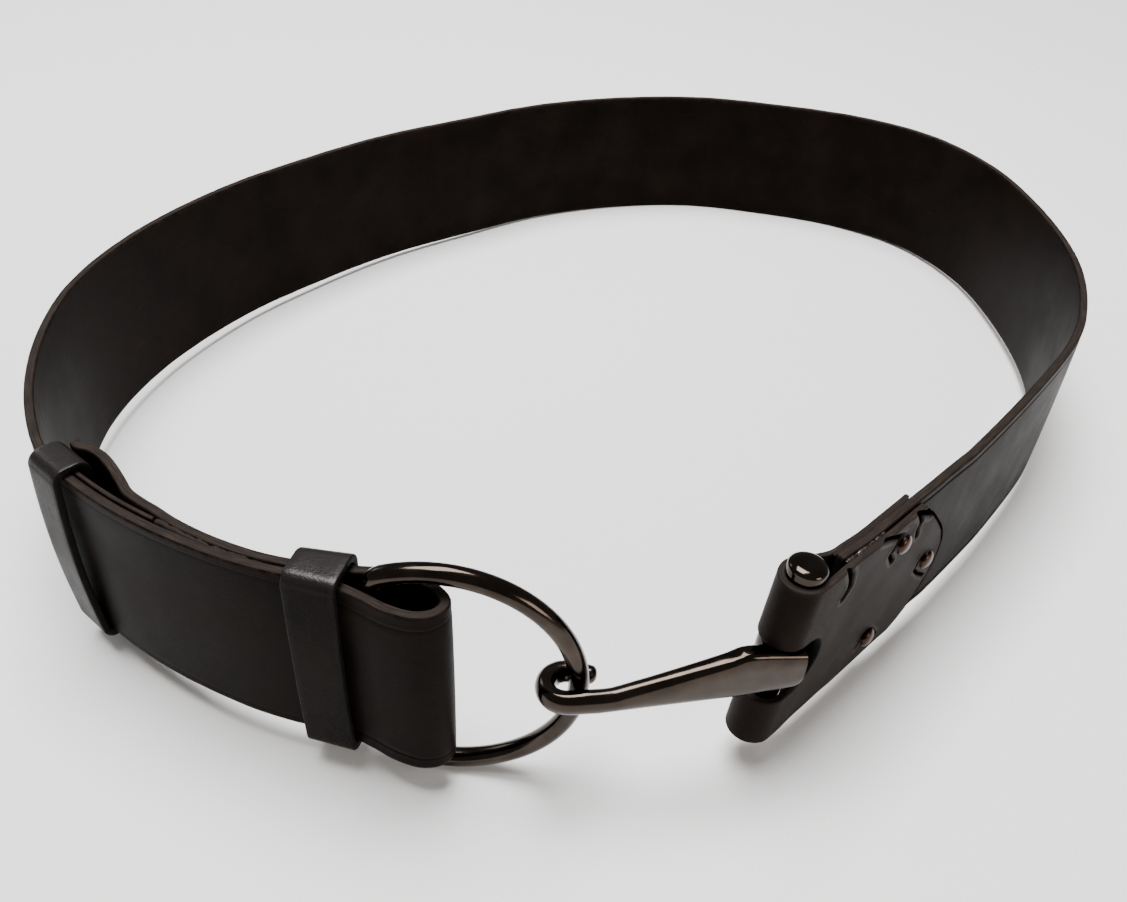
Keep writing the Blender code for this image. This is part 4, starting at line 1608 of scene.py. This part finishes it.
@dataclass
class Hook:
    """The hook: round tip and bend, flattening to a tall shank with an eye."""

    height: float = 0.0242
    bend_radius: float = 0.0047
    bend_centre: tuple[float, float] = (0.0036, 0.1408)
    tip_radius: float = 0.0021
    tip_drop: float = 0.0015
    arm_half_thickness: float = 0.0023
    arm_half_height: float = 0.0030
    shank_half_thickness: float = 0.0027
    shank_half_height: float = 0.0064
    shank_rise: float = 0.0023
    squareness: float = 0.55
    eye_radius: float = 0.0052
    eye_half_height: float = 0.0049
    eye_rise: float = 0.0020
    flare: float = 0.0006
    end_rounding: float = 0.0024
    end_drop: float = 0.0018
    end_drop_reach: float = 0.0090
    pin_radius: float = 0.0037
    slot_corner: float = 0.0015
    wall_face: float = -0.0600
    wall_back: float = -0.0760
    sides: int = 48
    eye_inset: float = 0.0009
    slices: tuple[int, int] = (12, 12)

    # Shares of the length over which the arm thickens, the tip rises and the shank widens.
    arm_span = (0.02, 0.14)
    drop_span = (0.13, 0.34)
    shank_span = (0.42, 0.80)
    flare_place = (0.82, 0.07)
    # Cuts across the tip, in tip radii.
    tip_cuts = (0.02, 0.06, 0.13, 0.22, 0.36, 0.5)
    # Middle of the tip, before the bend, and of the shank: x, y.
    tip_line = ((0.0102, 0.1446), (0.0075, 0.1452))
    shank_line = (
        (0.0100, 0.1366), (0.0200, 0.1390), (0.0326, 0.1424), (0.0440, 0.1456),
        (0.0552, 0.1487),
    )

    def line(self) -> list[Vector]:
        """Return the hook's middle line from its tip to the eye.

        Returns:
            The line's points in the plan.
        """
        centre = Vector(self.bend_centre)
        points = [Vector(point) for point in self.tip_line]
        for step in range(9):
            angle = math.radians(80 + 190 * step / 8)
            points.append(centre + self.bend_radius * Vector((math.cos(angle), math.sin(angle))))
        points += [Vector(point) for point in self.shank_line]
        return smooth_line(points, 0.0003)

    def shape(self, spot: Vector) -> Vector:
        """Return where a point of the plain round bar lies on the forged bar.

        Args:
            spot: A point of the plain bar, of radius 1.

        Returns:
            The moved point.
        """
        share = spot.x / self.length
        arm = ramp(share, *self.arm_span)
        drop = 1.0 - ramp(share, *self.drop_span)
        shank = ramp(share, *self.shank_span)
        half_thickness = (self.tip_radius + (self.arm_half_thickness - self.tip_radius) * arm
                          + (self.shank_half_thickness - self.arm_half_thickness) * shank)
        half_height = (self.tip_radius + (self.arm_half_height - self.tip_radius) * arm
                       + (self.shank_half_height - self.arm_half_height) * shank)
        power = 1.0 - (1.0 - self.squareness) * shank
        rise = self.shank_rise * shank - self.tip_drop * drop
        if spot.z > 0:
            flare_at, flare_reach = self.flare_place
            half_height += self.flare * swell(abs(share - flare_at), flare_reach)
            half_height -= self.end_drop * ramp(spot.x, self.length - self.end_drop_reach,
                                                self.length)
        else:
            left = min(1.0, (self.length - spot.x) / self.end_rounding)
            half_height *= 0.72 + 0.28 * round_over(left)
        nose = min(1.0, spot.x / (0.7 * self.tip_radius))
        point = round_over(nose) * 0.98 + 0.02
        angle = math.atan2(spot.z, spot.y)
        radius = math.hypot(spot.y, spot.z)
        out = math.cos(angle)
        up = math.sin(angle)
        return Vector((spot.x,
                       radius * half_thickness * point * math.copysign(abs(out) ** power, out),
                       self.height + rise
                       + radius * half_height * point * math.copysign(abs(up) ** power, up)))

    def clearances(self) -> tuple[Piece, Piece]:
        """Return what is filed off the hook: above the slot at the fold, and beside it.

        Returns:
            The round and the straight piece to take away.
        """
        chape = Chape()
        radius = chape.fold_radius + chape.thickness / 2 + GAP
        low = chape.slot_high - GAP - radius * math.tan(SIDE.pin_lean)
        rim = Workbench.turn("rim", ((radius, 0.0), (radius, self.shank_half_height)),
                             ROUND_SIDES)
        rim.data.transform(SIDE.pin_matrix(low))
        low = chape.slot_high - self.slot_corner
        depth = self.wall_face - self.wall_back
        reach = chape.slot_end - SIDE.pin_along
        Workbench.clear()
        bpy.ops.mesh.primitive_cube_add(size=1.0, scale=(reach, depth, self.shank_half_height))
        wall = Workbench.fresh("wall")
        middle = SIDE.point(SIDE.pin_along + reach / 2, self.wall_face - depth / 2,
                            low + self.shank_half_height / 2)
        heading = math.atan2(SIDE.direction[1], SIDE.direction[0])
        wall.data.transform(Matrix.Translation(middle) @ Matrix.Rotation(heading, 4, "Z"))
        return rim, wall

    def build(self) -> Piece:
        """Forge the bar, bend it and join its eye.

        Returns:
            The hook in the plan.
        """
        line = self.line()
        self.length = line_length(line)
        Workbench.clear()
        bpy.ops.mesh.primitive_cylinder_add(vertices=self.sides, radius=1.0, depth=self.length,
                                            location=(self.length / 2, 0, 0),
                                            rotation=(0, math.radians(90), 0))
        piece = Workbench.fresh("belt_hook")
        Workbench.edit(piece)
        Workbench.slice(piece, *self.slices)
        Workbench.score([self.tip_radius * share for share in self.tip_cuts], (1, 0, 0))
        bpy.ops.object.mode_set(mode="OBJECT")
        Workbench.reshape(piece, self.shape)
        Workbench.bend(piece, line)
        half = self.eye_half_height
        inset = self.eye_inset
        place = SIDE.pin_matrix(self.height + self.eye_rise)
        eye = Workbench.turn("eye", ((self.eye_radius - inset, -half),
                                     (self.eye_radius - inset * 0.3, inset * 0.3 - half),
                                     (self.eye_radius, inset - half),
                                     (self.eye_radius, half - inset),
                                     (self.eye_radius - inset * 0.3, half - inset * 0.3),
                                     (self.eye_radius - inset, half)), ROUND_SIDES)
        bore = Workbench.turn("bore", ((self.pin_radius + GAP, -2 * half),
                                       (self.pin_radius + GAP, 2 * half)), self.sides)
        rim, wall = self.clearances()
        for tool, matrix, operation in ((eye, place, "UNION"), (bore, place, "DIFFERENCE"),
                                        (rim, Matrix(), "DIFFERENCE"),
                                        (wall, Matrix(), "DIFFERENCE")):
            tool.data.transform(matrix)
            Workbench.apply(piece, "BOOLEAN", object=tool, operation=operation, solver="EXACT")
            bpy.data.objects.remove(tool)
        Workbench.close(piece, 0.00001)
        return finish_metal(piece, NickelFinish("hook_nickel").material(), "hook")


@dataclass
class HookPin:
    """The upright pin with its domed head."""

    radius: float = 0.0037
    head_radius: float = 0.0045
    head_height: float = 0.0036
    bevel: float = 0.0006
    foot_softening: float = 0.0002
    straight: float = 0.55
    flatness: float = 0.55
    foot_height: float = 0.0012
    foot: float = 0.0009
    top: float = 0.0498

    def build(self) -> Piece:
        """Turn the pin and set it leaning in the fold.

        Returns:
            The pin in the plan.
        """
        top = self.top
        dome_from = top + self.head_height * self.straight
        dome = self.head_height * (1.0 - self.straight)
        low = self.foot - self.foot_height
        profile = [(self.head_radius - self.bevel, low),
                   (self.head_radius - self.foot_softening, low + self.foot_softening),
                   (self.head_radius, low + self.bevel),
                   (self.head_radius, self.foot), (self.radius, self.foot), (self.radius, top),
                   (self.head_radius - self.bevel, top),
                   (self.head_radius, top + self.bevel),
                   (self.head_radius, dome_from - 0.0001)]
        for angle in range(6, 88, 7):
            turn = math.radians(angle)
            profile.append((self.head_radius * math.cos(turn) ** self.flatness,
                            dome_from + dome * math.sin(turn)))
        piece = Workbench.turn("belt_hook_pin", profile, ROUND_SIDES)
        piece.data.transform(SIDE.pin_matrix(0.0))
        plate = NickelFinish("pin_nickel", smooth=0.07, smudged=0.16)
        return finish_metal(piece, plate.material(), "hook_pin")


@dataclass
class Rivets:
    """The three domed rivets of the chape, each length turned once and copied."""

    chape: Chape
    head_radius: float = 0.0026
    head_height: float = 0.0014
    rim: float = 0.0003
    back_height: float = 0.0007
    shank_radius: float = 0.0011
    back_softening: float = 0.0001
    sides: int = 40

    # Each rivet: node, along, height above the strap's lower edge.
    places = (
        ("rivet_upper", 0.1800, 0.0422),
        ("rivet_tip", 0.1995, 0.0245),
        ("rivet_lower", 0.1797, 0.0096),
    )

    def profile(self, front: float, back: float) -> list[tuple[float, float]]:
        """Return a rivet's profile between the leather's front and back.

        Args:
            front: Height of the leather's front.
            back: Height of the leather's back.

        Returns:
            Radius and height of each ring, from the bottom.
        """
        rows = [(self.head_radius - self.rim, back - self.back_height),
                (self.head_radius - self.back_softening,
                 back - self.back_height + self.back_softening),
                (self.head_radius, back - self.rim), (self.head_radius, back),
                (self.shank_radius, back), (self.shank_radius, front),
                (self.head_radius, front), (self.head_radius, front + self.rim * 0.5)]
        for angle in range(8, 88, 8):
            turn = math.radians(angle)
            rows.append((self.head_radius * math.cos(turn),
                         front + self.rim * 0.5
                         + (self.head_height - self.rim * 0.5) * math.sin(turn)))
        return rows

    def out_at(self, along: float) -> float:
        """Return how far out the middle of the strap's end lies.

        Args:
            along: Distance along the buckle side.

        Returns:
            The distance out of the buckle side's line.
        """
        rows = sorted(STRAP_END_LINE)
        for (start, low), (end, high) in zip(rows, rows[1:]):
            if start <= along <= end:
                return low + (high - low) * (along - start) / (end - start)
        return rows[-1][1]

    def build(self) -> list[Piece]:
        """Turn the rivets and set them in the leather.

        Returns:
            The three rivets in the plan.
        """
        made = []
        plate = NickelFinish("rivet_nickel", dark=(0.026, 0.013, 0.010),
                             light=(0.050, 0.028, 0.021), smooth=0.14, smudged=0.28).material()
        front = STRAP_THICKNESS / 2 + GAP + self.chape.thickness + GAP
        back = -STRAP_THICKNESS / 2 - GAP
        long_back = back - (self.chape.leg_thickness + GAP)
        long = Workbench.turn("long_rivet", self.profile(front, long_back), self.sides)
        short = Workbench.turn("short_rivet", self.profile(front, back), self.sides)
        turn = Vector((*SIDE.outward, 0.0)).to_track_quat("Z", "Y").to_matrix().to_4x4()
        for node, along, height in self.places:
            pattern = long if along < self.chape.leg_end else short
            piece = Workbench.copy(pattern, "belt_" + node)
            place = SIDE.point(along, self.out_at(along) + SIDE.lean_in(along, height), height)
            piece.data.transform(Matrix.Translation(place) @ turn)
            made.append(finish_metal(piece, plate, node))
        bpy.data.objects.remove(long)
        bpy.data.objects.remove(short)
        return made


# Studio.


@dataclass
class Studio:
    """Pale floor, soft lights and the camera at the photograph's angle."""

    tilt: float = math.radians(38.346)
    roll: float = math.radians(3.251)
    height: float = 0.19993
    focal_pixels: float = 1010.356
    frame_pixels: float = 1127.0
    sensor: float = 36.0
    floor_size: float = 8.0
    nearest: float = 0.01
    sky_colour: Trio = (0.85, 0.82, 0.79)
    sky_strength: float = 0.30

    # Each light: name, place, aim, size, power, colour.
    lamps = (
        ("overhead", (-0.15, 0.15, 1.40), (0.0, 0.0, 0.0), (1.0, 0.7), 52.0, (1.0, 1.0, 1.0)),
        ("right_fill", (1.20, -0.90, 0.55), (0.0, 0.0, 0.03), (0.6, 0.5), 9.0,
         (1.0, 0.90, 0.80)),
        ("left_rim", (-1.10, 0.70, 0.60), (0.0, 0.0, 0.03), (0.4, 0.5), 2.0,
         (0.95, 0.97, 1.0)),
    )

    def camera(self) -> None:
        """Set the camera at the photograph's angle."""
        right = Vector((1, 0, 0))
        up = Vector((0, math.sin(self.tilt), math.cos(self.tilt)))
        ahead = Vector((0, math.cos(self.tilt), -math.sin(self.tilt)))
        across = right * math.cos(self.roll) + up * math.sin(self.roll)
        upright = up * math.cos(self.roll) - right * math.sin(self.roll)
        turn = Matrix((across, upright, -ahead)).transposed().to_4x4()
        data = bpy.data.cameras.new("camera")
        data.sensor_fit = "HORIZONTAL"
        data.sensor_width = self.sensor
        data.lens = self.focal_pixels * self.sensor / self.frame_pixels
        data.clip_start = self.nearest
        camera = bpy.data.objects.new("camera", data)
        camera.matrix_world = (STANCE.matrix() @ Matrix.Translation((0, 0, self.height)) @ turn)
        bpy.context.collection.objects.link(camera)
        bpy.context.scene.camera = camera

    def light(self) -> None:
        """Hang the lamps and set a soft grey surrounding."""
        for name, place, aim, size, power, colour in self.lamps:
            data = bpy.data.lights.new(name, "AREA")
            data.shape = "RECTANGLE"
            data.size, data.size_y = size
            data.energy = power
            data.color = colour
            lamp = bpy.data.objects.new(name, data)
            lamp.location = place
            lamp.rotation_euler = (Vector(aim) - Vector(place)).to_track_quat("-Z", "Y").to_euler()
            bpy.context.collection.objects.link(lamp)
        world = bpy.data.worlds.new("studio")
        world.use_nodes = True
        sky = world.node_tree.nodes["Background"]
        sky.inputs["Color"].default_value = (*self.sky_colour, 1.0)
        sky.inputs["Strength"].default_value = self.sky_strength
        bpy.context.scene.world = world

    def floor(self) -> None:
        """Lay the pale floor."""
        Workbench.clear()
        bpy.ops.mesh.primitive_plane_add(size=self.floor_size, location=(0, 0, 0))
        floor = Workbench.fresh("studio_floor")
        floor.data.materials.append(PaperFinish().material())

    def build(self) -> None:
        """Set the whole studio up."""
        self.camera()
        self.light()
        self.floor()


def report(*pieces: Piece) -> None:
    """Log each finished piece."""
    for piece in pieces:
        LOG.info("%s: %d faces", piece.name, len(piece.data.polygons))


def main() -> None:
    """Build the belt piece by piece, then the studio."""
    logging.basicConfig(level=logging.INFO, format="%(name)s %(message)s")
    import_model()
    Studio().build()
    near = Keeper("keeper_near", -0.0486, 0.1446, -13.0, -6.0, -0.0040, 0.0042, 0.0009)
    far = Keeper("keeper_far", -0.1151, 0.1738, -38.5, -38.5, -0.0018, 0.0038, 0.0001,
                 bulge=0.0012)
    chape = Chape()
    for part in (MainStrap(), KeeperStay(), near, far, chape):
        report(part.build())
    report(*build_seams())
    for part in (DRing(), Hook(), HookPin()):
        report(part.build())
    report(*Rivets(chape).build())


if __name__ == "__main__":
    main()
